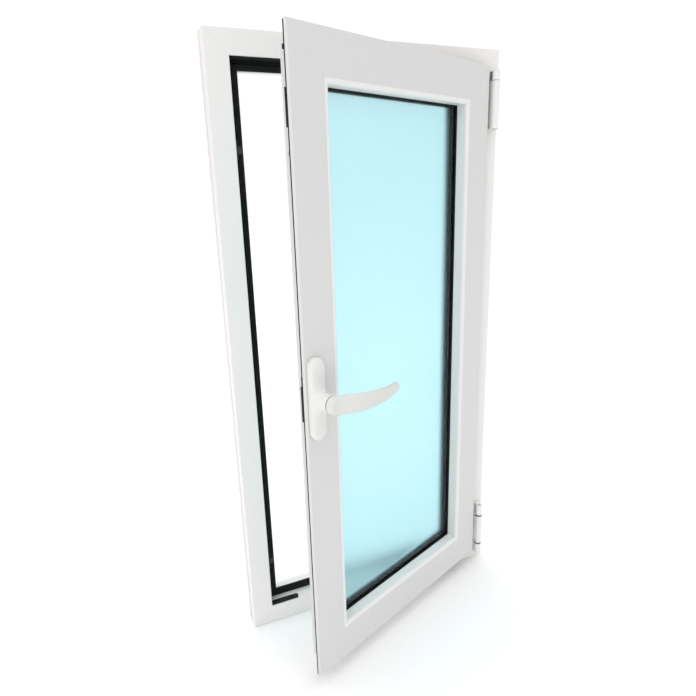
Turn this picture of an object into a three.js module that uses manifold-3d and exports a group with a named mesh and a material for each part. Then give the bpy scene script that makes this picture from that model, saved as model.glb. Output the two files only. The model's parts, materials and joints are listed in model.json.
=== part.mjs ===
// Tilt-and-turn casement window in white powder-coated aluminium, with one inward-opening sash.
// Millimetres, +Z up, +X towards the hinges, +Y outdoors.
// Origin: bottom centre of the fixed frame, half-way through its depth.
// The sash stands part-open. Everything on it is modelled shut, then turned about the hinge axis.

import * as THREE from "three";
import { mergeVertices } from "three/addons/utils/BufferGeometryUtils.js";
import Module from "manifold-3d";

// Overall sizes of the fixed frame
const FRAME_WIDTH = 500;
const FRAME_HEIGHT = 1000;
const FRAME_DEPTH = 40;

// Fixed frame section, measured inwards from its outer edge and outdoors from its room face
const FRAME_FACE = 35; // room-side face
const FRAME_WALL = 1.8;
const STOP_REACH = 16.5; // how far the outdoor stop stands past the face
const STOP_DEPTH = 13;
const FIXING_GROOVE_DEPTH = 8; // groove round the outside, between the two flanges
const FIXING_GROOVE_WIDTH = 8;
const FIXING_GROOVE_AT = 23;
const STOP_GASKET_THICKNESS = 3.7;

// Sash section, measured inwards from its own outer edge and outdoors from its room face
const SASH_OVERLAP = 6.5; // over the frame's face
const SASH_PROUD = 10; // in front of the frame's face
const SASH_DEPTH = 47;
const SASH_WALL = 1.6;
const FLANGE_THICKNESS = 5.5;
const FLANGE_REACH = 16.5;
const BODY_DEPTH = 33; // room face to the face that meets the stop gasket
const LEG_SETBACK = 10.5; // outdoor leg, set in from the body
const REBATE_AT = 57.5; // sash edge to the glazing rebate
const BEAD_WIDTH = 7.5; // rebate to the sight line
const BEAD_NOSE_RADIUS = 4.5;
const GLAZING_LIP = 6; // thickness of the outdoor glazing lip

// Hardware groove in the sash edge
const GROOVE_CENTRE = 15; // behind the sash's room face
const GROOVE_OPENING = 12;
const GROOVE_POCKET = 18;
const GROOVE_POCKET_DEPTH = 3;
const ROD_THICKNESS = 2.4;

// Glazing: pane, gap, pane
const PANE_THICKNESS = 4;
const PANE_GAP = 8;
const GLASS_EDGE_CLEARANCE = 3;
const SPACER_SIGHT = 7.5;
const GLAZING_GASKET = 2;
const OUTER_GASKET = 3;
const GLAZING_GASKET_REACH = 2;
const GLASS_UNIT = PANE_THICKNESS + PANE_GAP + PANE_THICKNESS;
const BEAD_DEPTH = SASH_DEPTH - GLAZING_LIP - OUTER_GASKET - GLASS_UNIT - GLAZING_GASKET;
const SETTING_BLOCK_LENGTH = 80;
const SETTING_BLOCK_FROM_END = 55;

// Clearances
const GAP = 0.3; // between pieces that touch
const MITRE_GAP = 0.2; // along each bar, at each mitre
const RUNNING_GAP = 0.6; // either side of a sliding piece
const OVERCUT = 1; // how far a cutting tool runs past the piece, or one piece into another

// Hinge side
const HINGE_FROM_EDGE = 15; // hinge axis, in from the frame's outer edge
const HINGE_PROUD = 14; // hinge axis, in front of the frame's face
const KNUCKLE_RADIUS = 6;
const HINGE_PIN_RADIUS = 3;
const LINK_THICKNESS = 2.2; // plates that pass between sash and frame
const LINK_GAP = 1.2; // link to frame face
const HINGE_LEAF_THICKNESS = 2.3;
const HINGE_LEAF_WIDTH = 24;
const NECK_WIDTH = 7;
const LOWER_BASE = [18, 45];
const SWIVEL = [45, 111];
const UPPER_CAP = [111, 135];
const TOP_COVER_DROP = [128, 51]; // lower and upper end, below the frame's top
const COVER_RADIUS = 6.4;
const COVER_WALL = 1.2;

// Tilt axis and stay arm
const TILT_BEHIND_FACE = 4; // tilt axis, outdoors of the frame's room face
const TILT_ABOVE_SILL = 3.5;
const TILT_PIN_RADIUS = 2;
const TILT_PIN_LENGTH = 60;
const STAY_LENGTH = 260;
const STAY_WIDTH = 12;
const STAY_THICKNESS = 2.5;
const STAY_BELOW_HEAD = 3.5;
const STAY_KNUCKLE_BELOW_HEAD = 1;

// Handle
const HANDLE_FROM_EDGE = 17;
const HANDLE_BASE_HEIGHT = 122;
const HANDLE_BASE_WIDTH = 27;
const HANDLE_BASE_THICKNESS = 11;
const HANDLE_WALL = 1.6;
const HUB_RADIUS = 14;
const HUB_FACE = 34; // fixed hub, in front of the sash
const LEVER_FRONT = 47; // lever hub, in front of the sash
const LEVER_LENGTH = 112; // spindle axis to tip
const LEVER_TIP_HEIGHT = 13.5;
const LEVER_TIP_RISE = 12; // tip, further from the sash than the hub
const LEVER_THICKNESS = 10;
const LEVER_BOW = 14;
const LEVER_SWELL = 2; // how far the edges stand out past a straight taper
const SPINDLE_RADIUS = 5;
const PINION_RADIUS = 9; // rack travel is this radius times the lever's angle
const PINION_THICKNESS = 6;
const PINION_TEETH = 16;

// Locking points, as heights on the lock stile with the lever level
const UPPER_CAM_BELOW_TOP = 176;
const LOWER_CAM_HEIGHT = 117;
const TOP_CAM_FROM_EDGE = 111.5; // along the head, from the sash's lock edge
const BOTTOM_CAM_FROM_EDGE = 43.5;
const CAM_RADIUS = 3.5;
const CAM_REACH = 6.5; // out of the sash edge
const CAM_OFFSET = 3.5; // outdoors of the groove's centre
const HOOK_THICKNESS = 3;
const HOOK_HALF_LENGTH = 5;
const HOOK_REACH = 7.7;

// Rest position
const REST_TURN = THREE.MathUtils.degToRad(22.4);

// Planes and rings that the sizes above fix
const ROOM_FACE = -FRAME_DEPTH / 2;
const OUT_FACE = FRAME_DEPTH / 2;
const REVEAL = FRAME_FACE - SASH_OVERLAP;
const SASH_FRONT = ROOM_FACE - SASH_PROUD;
const FRAME_RING = { width: FRAME_WIDTH, height: FRAME_HEIGHT, front: ROOM_FACE };
const SASH_RING = {
  width: FRAME_WIDTH - 2 * REVEAL,
  height: FRAME_HEIGHT - 2 * REVEAL,
  front: SASH_FRONT,
};
const MIDDLE = FRAME_HEIGHT / 2;
const LOCK_EDGE = -SASH_RING.width / 2;
const SASH_TOP = MIDDLE + SASH_RING.height / 2;
const SASH_BOTTOM = MIDDLE - SASH_RING.height / 2;
const JAMB_WALL = FRAME_WIDTH / 2 - FRAME_FACE; // inner faces of the frame, from its middle
const SILL_WALL = FRAME_FACE;
const HEAD_WALL = FRAME_HEIGHT - FRAME_FACE;
const SIGHT = REBATE_AT + BEAD_WIDTH;
const GROOVE_FLOOR = FLANGE_REACH + SASH_WALL + GROOVE_POCKET_DEPTH;
const GROOVE_Y = SASH_FRONT + GROOVE_CENTRE;
const ROD_U = [FLANGE_REACH + SASH_WALL + GAP, FLANGE_REACH + SASH_WALL + GAP + ROD_THICKNESS];
const ROD_Y = [GROOVE_Y - GROOVE_POCKET / 2 + RUNNING_GAP, GROOVE_Y + GROOVE_POCKET / 2 - RUNNING_GAP];
const SLOT_Y = [GROOVE_Y - GROOVE_OPENING / 2 + RUNNING_GAP, GROOVE_Y + GROOVE_OPENING / 2 - RUNNING_GAP];
const HINGE_X = FRAME_WIDTH / 2 - HINGE_FROM_EDGE;
const HINGE_Y = ROOM_FACE - HINGE_PROUD;
const TILT_Y = ROOM_FACE + TILT_BEHIND_FACE;
const TILT_Z = SILL_WALL + TILT_ABOVE_SILL;
const TRAVEL = (PINION_RADIUS * Math.PI) / 2; // of the rods, for a quarter turn

// Finishes
const finish = (color, roughness, metalness = 0) =>
  new THREE.MeshStandardMaterial({ color, roughness, metalness });
const whiteCoat = () => finish("#e6e6e4", 0.45);
const whiteBead = () => finish("#eeeeeb", 0.4);
const whitePlastic = () => finish("#efeeea", 0.4);
const rubber = () => finish("#232624", 0.8);
const blackPlastic = () => finish("#1d1f1f", 0.5);
const zinc = () => finish("#9a9c9e", 0.35, 0.9);
const steel = () => finish("#b4b6b8", 0.3, 1);
const rawAluminium = () => finish("#b9bbbd", 0.45, 0.9);
const glass = () => finish("#c8f6fe", 0.05);

// Solids: joins and cuts
const wasm = await Module();
wasm.setup();

function solidOf(geometry) {
  const bare = geometry.clone();
  bare.deleteAttribute("normal");
  bare.deleteAttribute("uv");
  const merged = mergeVertices(bare, 1e-4);
  return new wasm.Manifold(
    new wasm.Mesh({
      numProp: 3,
      vertProperties: merged.attributes.position.array,
      triVerts: new Uint32Array(merged.index.array),
    }),
  );
}

function geometryOf(solid) {
  const mesh = solid.getMesh();
  const geometry = new THREE.BufferGeometry();
  geometry.setAttribute("position", new THREE.BufferAttribute(mesh.vertProperties, 3));
  geometry.setIndex(new THREE.BufferAttribute(mesh.triVerts, 1));
  geometry.computeVertexNormals();
  return geometry;
}

function join(first, ...others) {
  return geometryOf(others.reduce((sum, next) => sum.add(solidOf(next)), solidOf(first)));
}

function cut(base, ...tools) {
  return geometryOf(tools.reduce((rest, tool) => rest.subtract(solidOf(tool)), solidOf(base)));
}

function common(first, second) {
  return geometryOf(solidOf(first).intersect(solidOf(second)));
}

// Plain shapes between two values on each axis
function block([x0, x1], [y0, y1], [z0, z1]) {
  const box = new THREE.BoxGeometry(x1 - x0, y1 - y0, z1 - z0);
  return box.translate((x0 + x1) / 2, (y0 + y1) / 2, (z0 + z1) / 2);
}

function post(radius, x, y, [z0, z1], sides = 24) {
  const cylinder = new THREE.CylinderGeometry(radius, radius, z1 - z0, sides).rotateX(Math.PI / 2);
  return cylinder.translate(x, y, (z0 + z1) / 2);
}

function bar(radius, [x0, x1], y, z, sides = 20) {
  const cylinder = new THREE.CylinderGeometry(radius, radius, x1 - x0, sides).rotateZ(Math.PI / 2);
  return cylinder.translate((x0 + x1) / 2, y, z);
}

function boss(radius, x, [y0, y1], z, sides = 32) {
  return new THREE.CylinderGeometry(radius, radius, y1 - y0, sides).translate(x, (y0 + y1) / 2, z);
}

function shapeOf(points, holes = []) {
  const vectors = (list) => list.map(([x, y]) => new THREE.Vector2(x, y));
  const shape = new THREE.Shape(vectors(points));
  holes.forEach((hole) => shape.holes.push(new THREE.Path(vectors(hole))));
  return shape;
}

const rectangle = ([x0, x1], [y0, y1]) => [
  [x0, y0],
  [x1, y0],
  [x1, y1],
  [x0, y1],
];

function arc(cx, cy, radius, from, to, steps = 6) {
  return Array.from({ length: steps + 1 }, (_, i) => {
    const angle = from + ((to - from) * i) / steps;
    return [cx + radius * Math.cos(angle), cy + radius * Math.sin(angle)];
  });
}

function extruded(shape, depth) {
  return new THREE.ExtrudeGeometry(shape, { depth, bevelEnabled: false, curveSegments: 8 });
}

// A section in the XZ plane, pushed from y0 to y1
function pushedY(shape, [y0, y1]) {
  return extruded(shape, y1 - y0)
    .rotateX(Math.PI / 2)
    .translate(0, y1, 0);
}

// Bars, rings and corners of a rectangular ring.
// u runs inwards from the ring's outer edge, v outdoors from its front.
const SIDES = { bottom: 0, hinge: -Math.PI / 2, top: Math.PI, lock: Math.PI / 2 };
const isLevel = (side) => side === "top" || side === "bottom";

function placedOnSide(geometry, ring, side) {
  const reach = isLevel(side) ? ring.height / 2 : ring.width / 2;
  geometry.rotateY(-Math.PI / 2).translate(0, ring.front, -reach);
  return geometry.rotateY(SIDES[side]).translate(0, 0, MIDDLE);
}

// A prism along one side of a ring, its ends cut at 45 degrees and drawn back by endGap
function mitredPrism(profile, ring, side, endGap) {
  const half = (isLevel(side) ? ring.width : ring.height) / 2;
  const geometry = extruded(shapeOf(profile), 1);
  const at = geometry.attributes.position;
  for (let i = 0; i < at.count; i++) {
    const end = at.getZ(i) > 0.5 ? 1 : -1;
    at.setZ(i, end * (half - at.getX(i) - endGap));
  }
  return placedOnSide(geometry, ring, side);
}

// A hollow bar: each chamber runs out through both mitred ends
function mitredBar(profile, chambers, ring, side) {
  const hollows = chambers.map((chamber) => mitredPrism(chamber, ring, side, -OVERCUT));
  return cut(mitredPrism(profile, ring, side, MITRE_GAP), ...hollows);
}

function ringOutline(ring, inset) {
  const x = ring.width / 2 - inset;
  const z = ring.height / 2 - inset;
  return rectangle([-x, x], [MIDDLE - z, MIDDLE + z]);
}

function ringPiece(ring, [u0, u1], [v0, v1]) {
  const shape = shapeOf(ringOutline(ring, u0), [ringOutline(ring, u1)]);
  return pushedY(shape, [ring.front + v0, ring.front + v1]);
}

function ringPlate(ring, inset, [v0, v1]) {
  return pushedY(shapeOf(ringOutline(ring, inset)), [ring.front + v0, ring.front + v1]);
}

function cornerCleat(ring, [u0, u1], [v0, v1], leg, signX, signZ) {
  const x = (u) => signX * (ring.width / 2 - u);
  const z = (u) => MIDDLE + signZ * (ring.height / 2 - u);
  const end = u0 + leg;
  const points = [[u0, u0], [end, u0], [end, u1], [u1, u1], [u1, end], [u0, end]];
  return pushedY(shapeOf(points.map(([a, b]) => [x(a), z(b)])), [ring.front + v0, ring.front + v1]);
}

// Groups: fixed frame; carrier on the hinge axis; everything below hangs on the carrier
const casementWindow = new THREE.Group();
const frameGroup = new THREE.Group();
const hingeAxis = new THREE.Group();
const openedGroup = new THREE.Group();
hingeAxis.position.set(HINGE_X, HINGE_Y, 0);
hingeAxis.rotation.z = REST_TURN;
openedGroup.position.set(-HINGE_X, -HINGE_Y, 0);
hingeAxis.add(openedGroup);
casementWindow.add(frameGroup, hingeAxis);

function add(group, name, geometry, material) {
  const mesh = new THREE.Mesh(geometry, material);
  mesh.name = name;
  group.add(mesh);
}

const CORNERS = [
  ["bottom_lock", -1, -1],
  ["bottom_hinge", 1, -1],
  ["top_hinge", 1, 1],
  ["top_lock", -1, 1],
];

// Fixed frame: four mitred hollow bars
const FRAME_BAR_NAMES = {
  bottom: "frame_sill",
  hinge: "frame_hinge_jamb",
  top: "frame_head",
  lock: "frame_lock_jamb",
};
const STOP_AT = FRAME_DEPTH - STOP_DEPTH;
const STOP_EDGE = FRAME_FACE + STOP_REACH;
const GROOVE_END = FIXING_GROOVE_AT + FIXING_GROOVE_WIDTH;
const CHAMBER_U = [FIXING_GROOVE_DEPTH + FRAME_WALL, FRAME_FACE - FRAME_WALL];
const frameProfile = [
  [0, 0],
  [FRAME_FACE, 0],
  [FRAME_FACE, STOP_AT],
  [STOP_EDGE, STOP_AT],
  [STOP_EDGE, FRAME_DEPTH],
  [0, FRAME_DEPTH],
  [0, GROOVE_END],
  [FIXING_GROOVE_DEPTH, GROOVE_END],
  [FIXING_GROOVE_DEPTH, FIXING_GROOVE_AT],
  [0, FIXING_GROOVE_AT],
];
const frameChambers = [
  rectangle(CHAMBER_U, [FRAME_WALL, FRAME_DEPTH - FRAME_WALL]),
  rectangle([FRAME_WALL, FIXING_GROOVE_DEPTH], [FRAME_WALL, FIXING_GROOVE_AT - FRAME_WALL]),
  rectangle([FRAME_FACE, STOP_EDGE - FRAME_WALL], [STOP_AT + FRAME_WALL, FRAME_DEPTH - FRAME_WALL]),
];
for (const [side, name] of Object.entries(FRAME_BAR_NAMES))
  add(frameGroup, name, mitredBar(frameProfile, frameChambers, FRAME_RING, side), whiteCoat());

const FRAME_CLEAT_LEG = 60;
const CLEAT_DEPTH = 18;
const frameCleatU = [CHAMBER_U[0] + GAP, CHAMBER_U[1] - GAP];
const frameCleatV = [FRAME_WALL + GAP, FRAME_WALL + GAP + CLEAT_DEPTH];
for (const [corner, signX, signZ] of CORNERS) {
  const cleat = cornerCleat(FRAME_RING, frameCleatU, frameCleatV, FRAME_CLEAT_LEG, signX, signZ);
  add(frameGroup, "frame_corner_cleat_" + corner, cleat, rawAluminium());
}

const STOP_GASKET_INSET = 1.5;
const stopGasketU = [FRAME_FACE + GAP, STOP_EDGE - STOP_GASKET_INSET];
const stopGasketV = [STOP_AT - STOP_GASKET_THICKNESS, STOP_AT - GAP];
add(frameGroup, "centre_gasket", ringPiece(FRAME_RING, stopGasketU, stopGasketV), rubber());

const DRAIN_CAP = { width: 32, height: 10, thickness: 3, height_at: 14, from_middle: 130 };
for (const [name, sign] of [["drain_cap_lock_side", -1], ["drain_cap_hinge_side", 1]]) {
  const x = sign * DRAIN_CAP.from_middle;
  const cap = block(
    [x - DRAIN_CAP.width / 2, x + DRAIN_CAP.width / 2],
    [OUT_FACE + GAP, OUT_FACE + GAP + DRAIN_CAP.thickness],
    [DRAIN_CAP.height_at, DRAIN_CAP.height_at + DRAIN_CAP.height],
  );
  add(frameGroup, name, cap, whitePlastic());
}

// Locking points on the frame. Each hook stands on the room side of its cam, one travel along.
const CAM_Y = GROOVE_Y + CAM_OFFSET;
const HOOK_Y = [ROOM_FACE + RUNNING_GAP, ROOM_FACE + RUNNING_GAP + HOOK_THICKNESS];
const STRIKER_PLATE = 1.5;
const STRIKER_PLATE_HALF = 14;
const PLATE_Y = [HOOK_Y[0], CAM_Y + CAM_RADIUS];
const UPPER_CAM_Z = FRAME_HEIGHT - UPPER_CAM_BELOW_TOP;
const TOP_CAM_X = LOCK_EDGE + TOP_CAM_FROM_EDGE;
const BOTTOM_CAM_X = LOCK_EDGE + BOTTOM_CAM_FROM_EDGE;

function jambStriker(z) {
  const wall = -JAMB_WALL + GAP;
  return join(
    block([wall, wall + STRIKER_PLATE], PLATE_Y, [z - STRIKER_PLATE_HALF, z + STRIKER_PLATE_HALF]),
    block([wall, -JAMB_WALL + HOOK_REACH], HOOK_Y, [z - HOOK_HALF_LENGTH, z + HOOK_HALF_LENGTH]),
  );
}
add(frameGroup, "striker_upper", jambStriker(UPPER_CAM_Z + TRAVEL), zinc());
add(frameGroup, "striker_lower", jambStriker(LOWER_CAM_HEIGHT + TRAVEL), zinc());

const headStrikerX = TOP_CAM_X + TRAVEL;
const headPlateTop = HEAD_WALL - GAP;
const headStriker = join(
  block(
    [headStrikerX - STRIKER_PLATE_HALF, headStrikerX + STRIKER_PLATE_HALF],
    PLATE_Y,
    [headPlateTop - STRIKER_PLATE, headPlateTop],
  ),
  block(
    [headStrikerX - HOOK_HALF_LENGTH, headStrikerX + HOOK_HALF_LENGTH],
    HOOK_Y,
    [HEAD_WALL - HOOK_REACH, headPlateTop],
  ),
);
add(frameGroup, "striker_head", headStriker, zinc());

// Tilt keeper: a black block on the sill with a gap for the cam between two hooks
const KEEPER = {
  lock_end: 36.3,
  hinge_end: 14,
  base: 2.5,
  hook_height: 7.5,
  hook_length: 14.5,
  ramp_height: 4,
  gap_half: 6,
};
const keeperFloor = SILL_WALL + GAP;
const tiltKeeper = join(
  block(
    [BOTTOM_CAM_X - KEEPER.lock_end, BOTTOM_CAM_X + KEEPER.hinge_end],
    [HOOK_Y[0], CAM_Y + CAM_RADIUS],
    [keeperFloor, SILL_WALL + KEEPER.base],
  ),
  block(
    [BOTTOM_CAM_X - KEEPER.lock_end, BOTTOM_CAM_X - KEEPER.gap_half],
    HOOK_Y,
    [keeperFloor, SILL_WALL + KEEPER.ramp_height],
  ),
  block(
    [BOTTOM_CAM_X - KEEPER.gap_half - KEEPER.hook_length, BOTTOM_CAM_X - KEEPER.gap_half],
    HOOK_Y,
    [keeperFloor, SILL_WALL + KEEPER.hook_height],
  ),
  block(
    [BOTTOM_CAM_X + KEEPER.gap_half, BOTTOM_CAM_X + KEEPER.hinge_end],
    HOOK_Y,
    [keeperFloor, SILL_WALL + KEEPER.hook_height],
  ),
);
add(frameGroup, "tilt_keeper", tiltKeeper, blackPlastic());

// Hinges on the frame: leaf, neck and bored knuckle about the hinge axis
const LEAF_Y = [ROOM_FACE - GAP - HINGE_LEAF_THICKNESS, ROOM_FACE - GAP];
const LEAF_X = [HINGE_X - HINGE_LEAF_WIDTH / 2, HINGE_X + HINGE_LEAF_WIDTH / 2];
const NECK_X = [HINGE_X - NECK_WIDTH / 2, HINGE_X + NECK_WIDTH / 2];
const PIN_BORE = HINGE_PIN_RADIUS + GAP;

function frameKnuckle(radius, z) {
  const solid = join(
    post(radius, HINGE_X, HINGE_Y, z),
    block(NECK_X, [HINGE_Y, LEAF_Y[1]], z),
    block(LEAF_X, LEAF_Y, z),
  );
  return cut(solid, post(PIN_BORE, HINGE_X, HINGE_Y, [z[0] - OVERCUT, z[1] + OVERCUT]));
}
const lowerBase = frameKnuckle(KNUCKLE_RADIUS, [LOWER_BASE[0], LOWER_BASE[1] - GAP]);
const upperCap = frameKnuckle(KNUCKLE_RADIUS, [UPPER_CAP[0] + GAP, UPPER_CAP[1]]);
add(frameGroup, "bottom_hinge_base", lowerBase, whiteCoat());
add(frameGroup, "bottom_hinge_upper_cap", upperCap, whiteCoat());
const LOWER_PIN_END = 6;
const lowerPinZ = [LOWER_BASE[0] + LOWER_PIN_END, UPPER_CAP[1] - LOWER_PIN_END];
add(frameGroup, "bottom_hinge_pin", post(HINGE_PIN_RADIUS, HINGE_X, HINGE_Y, lowerPinZ), steel());

const COVER_Z = TOP_COVER_DROP.map((drop) => FRAME_HEIGHT - drop);
const BRACKET_INSET = 1.5;
const bracketRadius = COVER_RADIUS - COVER_WALL - RUNNING_GAP;
add(
  frameGroup,
  "top_hinge_bracket",
  frameKnuckle(bracketRadius, [COVER_Z[0] + BRACKET_INSET, COVER_Z[1] - BRACKET_INSET]),
  zinc(),
);

function coverOutline(radius, foot) {
  return [
    [HINGE_X + radius, foot],
    [HINGE_X - radius, foot],
    ...arc(HINGE_X, HINGE_Y, radius, Math.PI, 2 * Math.PI, 12),
  ];
}
const coverFoot = LEAF_Y[0] - GAP;
const coverShape = shapeOf(coverOutline(COVER_RADIUS, coverFoot));
const coverHollow = shapeOf(coverOutline(COVER_RADIUS - COVER_WALL, coverFoot + OVERCUT));
const coverHeight = COVER_Z[1] - COVER_Z[0];
const topCover = cut(
  extruded(coverShape, coverHeight).translate(0, 0, COVER_Z[0]),
  extruded(coverHollow, coverHeight + 2 * OVERCUT).translate(0, 0, COVER_Z[0] - OVERCUT),
);
add(frameGroup, "top_hinge_cover", topCover, whiteCoat());

const ARM_Z = [HEAD_WALL - STAY_BELOW_HEAD - STAY_THICKNESS, HEAD_WALL - STAY_BELOW_HEAD];
const STAY_KNUCKLE_Z = [COVER_Z[1] + RUNNING_GAP, HEAD_WALL - STAY_KNUCKLE_BELOW_HEAD];
const TOP_PIN = { start: 12, below_knuckle_top: 1 };
const topPinZ = [COVER_Z[0] + TOP_PIN.start, STAY_KNUCKLE_Z[1] - TOP_PIN.below_knuckle_top];
add(frameGroup, "top_hinge_pin", post(HINGE_PIN_RADIUS, HINGE_X, HINGE_Y, topPinZ), steel());

// Bottom swivel: turns on the hinge pin and carries the tilt pin under the sash
const LINK_Y = [ROOM_FACE - LINK_GAP - LINK_THICKNESS, ROOM_FACE - LINK_GAP];
const CORNER_BEND = { start: 9, end: 1.5, past_groove: 5 }; // from the jamb, and across the groove
const LINK_BAND = { start: 5, end: 31 }; // heights above the swivel's foot
const NECK_SETBACK = 5;
const CORNER_X = [JAMB_WALL - CORNER_BEND.start, JAMB_WALL - CORNER_BEND.end];
const LINK_Z = [SWIVEL[0] + LINK_BAND.start, SWIVEL[0] + LINK_BAND.end];
const CORNER_Y = [LINK_Y[0], GROOVE_Y + CORNER_BEND.past_groove];
const swivelBody = join(
  post(KNUCKLE_RADIUS, HINGE_X, HINGE_Y, [SWIVEL[0] + GAP, SWIVEL[1] - GAP]),
  block(NECK_X, [HINGE_Y, LINK_Y[1]], [SWIVEL[0] + NECK_SETBACK, SWIVEL[1] - NECK_SETBACK]),
  block([CORNER_X[0], NECK_X[1]], LINK_Y, LINK_Z),
  block(CORNER_X, CORNER_Y, [TILT_Z - TILT_PIN_RADIUS, LINK_Z[1]]),
);
const tiltPinX = [CORNER_X[1] - GAP - TILT_PIN_LENGTH, CORNER_X[1] - GAP];
const tiltBore = TILT_PIN_RADIUS + GAP;
const bottomSwivel = cut(
  swivelBody,
  post(PIN_BORE, HINGE_X, HINGE_Y, [SWIVEL[0] - OVERCUT, SWIVEL[1] + OVERCUT]),
  bar(tiltBore, [CORNER_X[0] - OVERCUT, CORNER_X[1] + OVERCUT], TILT_Y, TILT_Z),
);
add(openedGroup, "bottom_swivel", bottomSwivel, whiteCoat());
add(openedGroup, "tilt_pin", bar(TILT_PIN_RADIUS, tiltPinX, TILT_Y, TILT_Z), steel());

// Stay arm: hangs on the top hinge pin and runs along the sash head
const STAY_PIN_X = HINGE_X - STAY_LENGTH;
const STAY_Y = [GROOVE_Y - STAY_WIDTH / 2, GROOVE_Y + STAY_WIDTH / 2];
const RIVET = { radius: 4, height: 1.8 };
const stayBody = join(
  post(KNUCKLE_RADIUS, HINGE_X, HINGE_Y, STAY_KNUCKLE_Z),
  block(NECK_X, [HINGE_Y, LINK_Y[1]], STAY_KNUCKLE_Z),
  block([CORNER_X[0], NECK_X[1]], LINK_Y, STAY_KNUCKLE_Z),
  block(CORNER_X, [LINK_Y[0], STAY_Y[1]], ARM_Z),
  block([STAY_PIN_X, CORNER_X[1]], STAY_Y, ARM_Z),
  post(STAY_WIDTH / 2, STAY_PIN_X, GROOVE_Y, ARM_Z),
  post(RIVET.radius, STAY_PIN_X, GROOVE_Y, [ARM_Z[0], ARM_Z[1] + RIVET.height]),
);
const stayBoreZ = [STAY_KNUCKLE_Z[0] - OVERCUT, STAY_KNUCKLE_Z[1] + OVERCUT];
const stayArm = cut(stayBody, post(PIN_BORE, HINGE_X, HINGE_Y, stayBoreZ));
add(openedGroup, "stay_arm", stayArm, steel());

// Sash: four mitred hollow bars with the hardware groove in their outer edge
const SASH_BAR_NAMES = {
  bottom: "sash_bottom_rail",
  hinge: "sash_hinge_stile",
  top: "sash_top_rail",
  lock: "sash_lock_stile",
};
const LEG_U = FLANGE_REACH + LEG_SETBACK;
const LIP_V = SASH_DEPTH - GLAZING_LIP;
const OPENING_V = [GROOVE_CENTRE - GROOVE_OPENING / 2, GROOVE_CENTRE + GROOVE_OPENING / 2];
const POCKET_V = [GROOVE_CENTRE - GROOVE_POCKET / 2, GROOVE_CENTRE + GROOVE_POCKET / 2];
const POCKET_U = FLANGE_REACH + SASH_WALL;
const CHAMBER_START = GROOVE_FLOOR + SASH_WALL;
const sashProfile = [
  [0, 0],
  [REBATE_AT, 0],
  [REBATE_AT, LIP_V],
  [SIGHT, LIP_V],
  [SIGHT, SASH_DEPTH],
  [LEG_U, SASH_DEPTH],
  [LEG_U, BODY_DEPTH],
  [FLANGE_REACH, BODY_DEPTH],
  [FLANGE_REACH, OPENING_V[1]],
  [POCKET_U, OPENING_V[1]],
  [POCKET_U, POCKET_V[1]],
  [GROOVE_FLOOR, POCKET_V[1]],
  [GROOVE_FLOOR, POCKET_V[0]],
  [POCKET_U, POCKET_V[0]],
  [POCKET_U, OPENING_V[0]],
  [FLANGE_REACH, OPENING_V[0]],
  [FLANGE_REACH, FLANGE_THICKNESS],
  [0, FLANGE_THICKNESS],
];
const roomChamber = [[CHAMBER_START, REBATE_AT - SASH_WALL], [SASH_WALL, BODY_DEPTH - SASH_WALL]];
const legChamber = [[LEG_U + SASH_WALL, REBATE_AT - SASH_WALL], [BODY_DEPTH, SASH_DEPTH - SASH_WALL]];
const sashChambers = [rectangle(...roomChamber), rectangle(...legChamber)];
const sashBars = Object.fromEntries(
  Object.keys(SASH_BAR_NAMES).map((side) => [
    side,
    mitredBar(sashProfile, sashChambers, SASH_RING, side),
  ]),
);

// Slots in the lock stile for the two pins of the drive rack
const HANDLE_X = LOCK_EDGE + HANDLE_FROM_EDGE;
const RACK_PIN_Z = [24, 30];
const slotX = [LOCK_EDGE + POCKET_U, LOCK_EDGE + GROOVE_FLOOR];
const slotHeight = [RACK_PIN_Z[0] - TRAVEL - RUNNING_GAP, RACK_PIN_Z[1] + TRAVEL + RUNNING_GAP];
const rackSlots = [1, -1].map((sign) => {
  const z = slotHeight.map((height) => MIDDLE + sign * height).sort((a, b) => a - b);
  return block(slotX, [SASH_FRONT - OVERCUT, SASH_FRONT + POCKET_V[0] + OVERCUT], z);
});
sashBars.lock = cut(sashBars.lock, ...rackSlots);
for (const [side, name] of Object.entries(SASH_BAR_NAMES))
  add(openedGroup, name, sashBars[side], whiteCoat());

const SASH_CLEAT_LEG = 75;
const sashCleatU = [roomChamber[0][0] + GAP, roomChamber[0][1] - GAP];
const sashCleatV = [SASH_WALL + GAP, SASH_WALL + GAP + CLEAT_DEPTH];
for (const [corner, signX, signZ] of CORNERS) {
  const cleat = cornerCleat(SASH_RING, sashCleatU, sashCleatV, SASH_CLEAT_LEG, signX, signZ);
  add(openedGroup, "sash_corner_cleat_" + corner, cleat, rawAluminium());
}

// Glazing beads with a rounded nose, and the sealed glass unit they hold
const BEAD_NAMES = {
  bottom: "glazing_bead_bottom",
  hinge: "glazing_bead_hinge_side",
  top: "glazing_bead_top",
  lock: "glazing_bead_lock_side",
};
const beadProfile = [
  [REBATE_AT + GAP, 0],
  ...arc(SIGHT - BEAD_NOSE_RADIUS, BEAD_NOSE_RADIUS, BEAD_NOSE_RADIUS, -Math.PI / 2, 0),
  [SIGHT, BEAD_DEPTH],
  [REBATE_AT + GAP, BEAD_DEPTH],
];
for (const [side, name] of Object.entries(BEAD_NAMES))
  add(openedGroup, name, mitredBar(beadProfile, [], SASH_RING, side), whiteBead());

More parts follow.
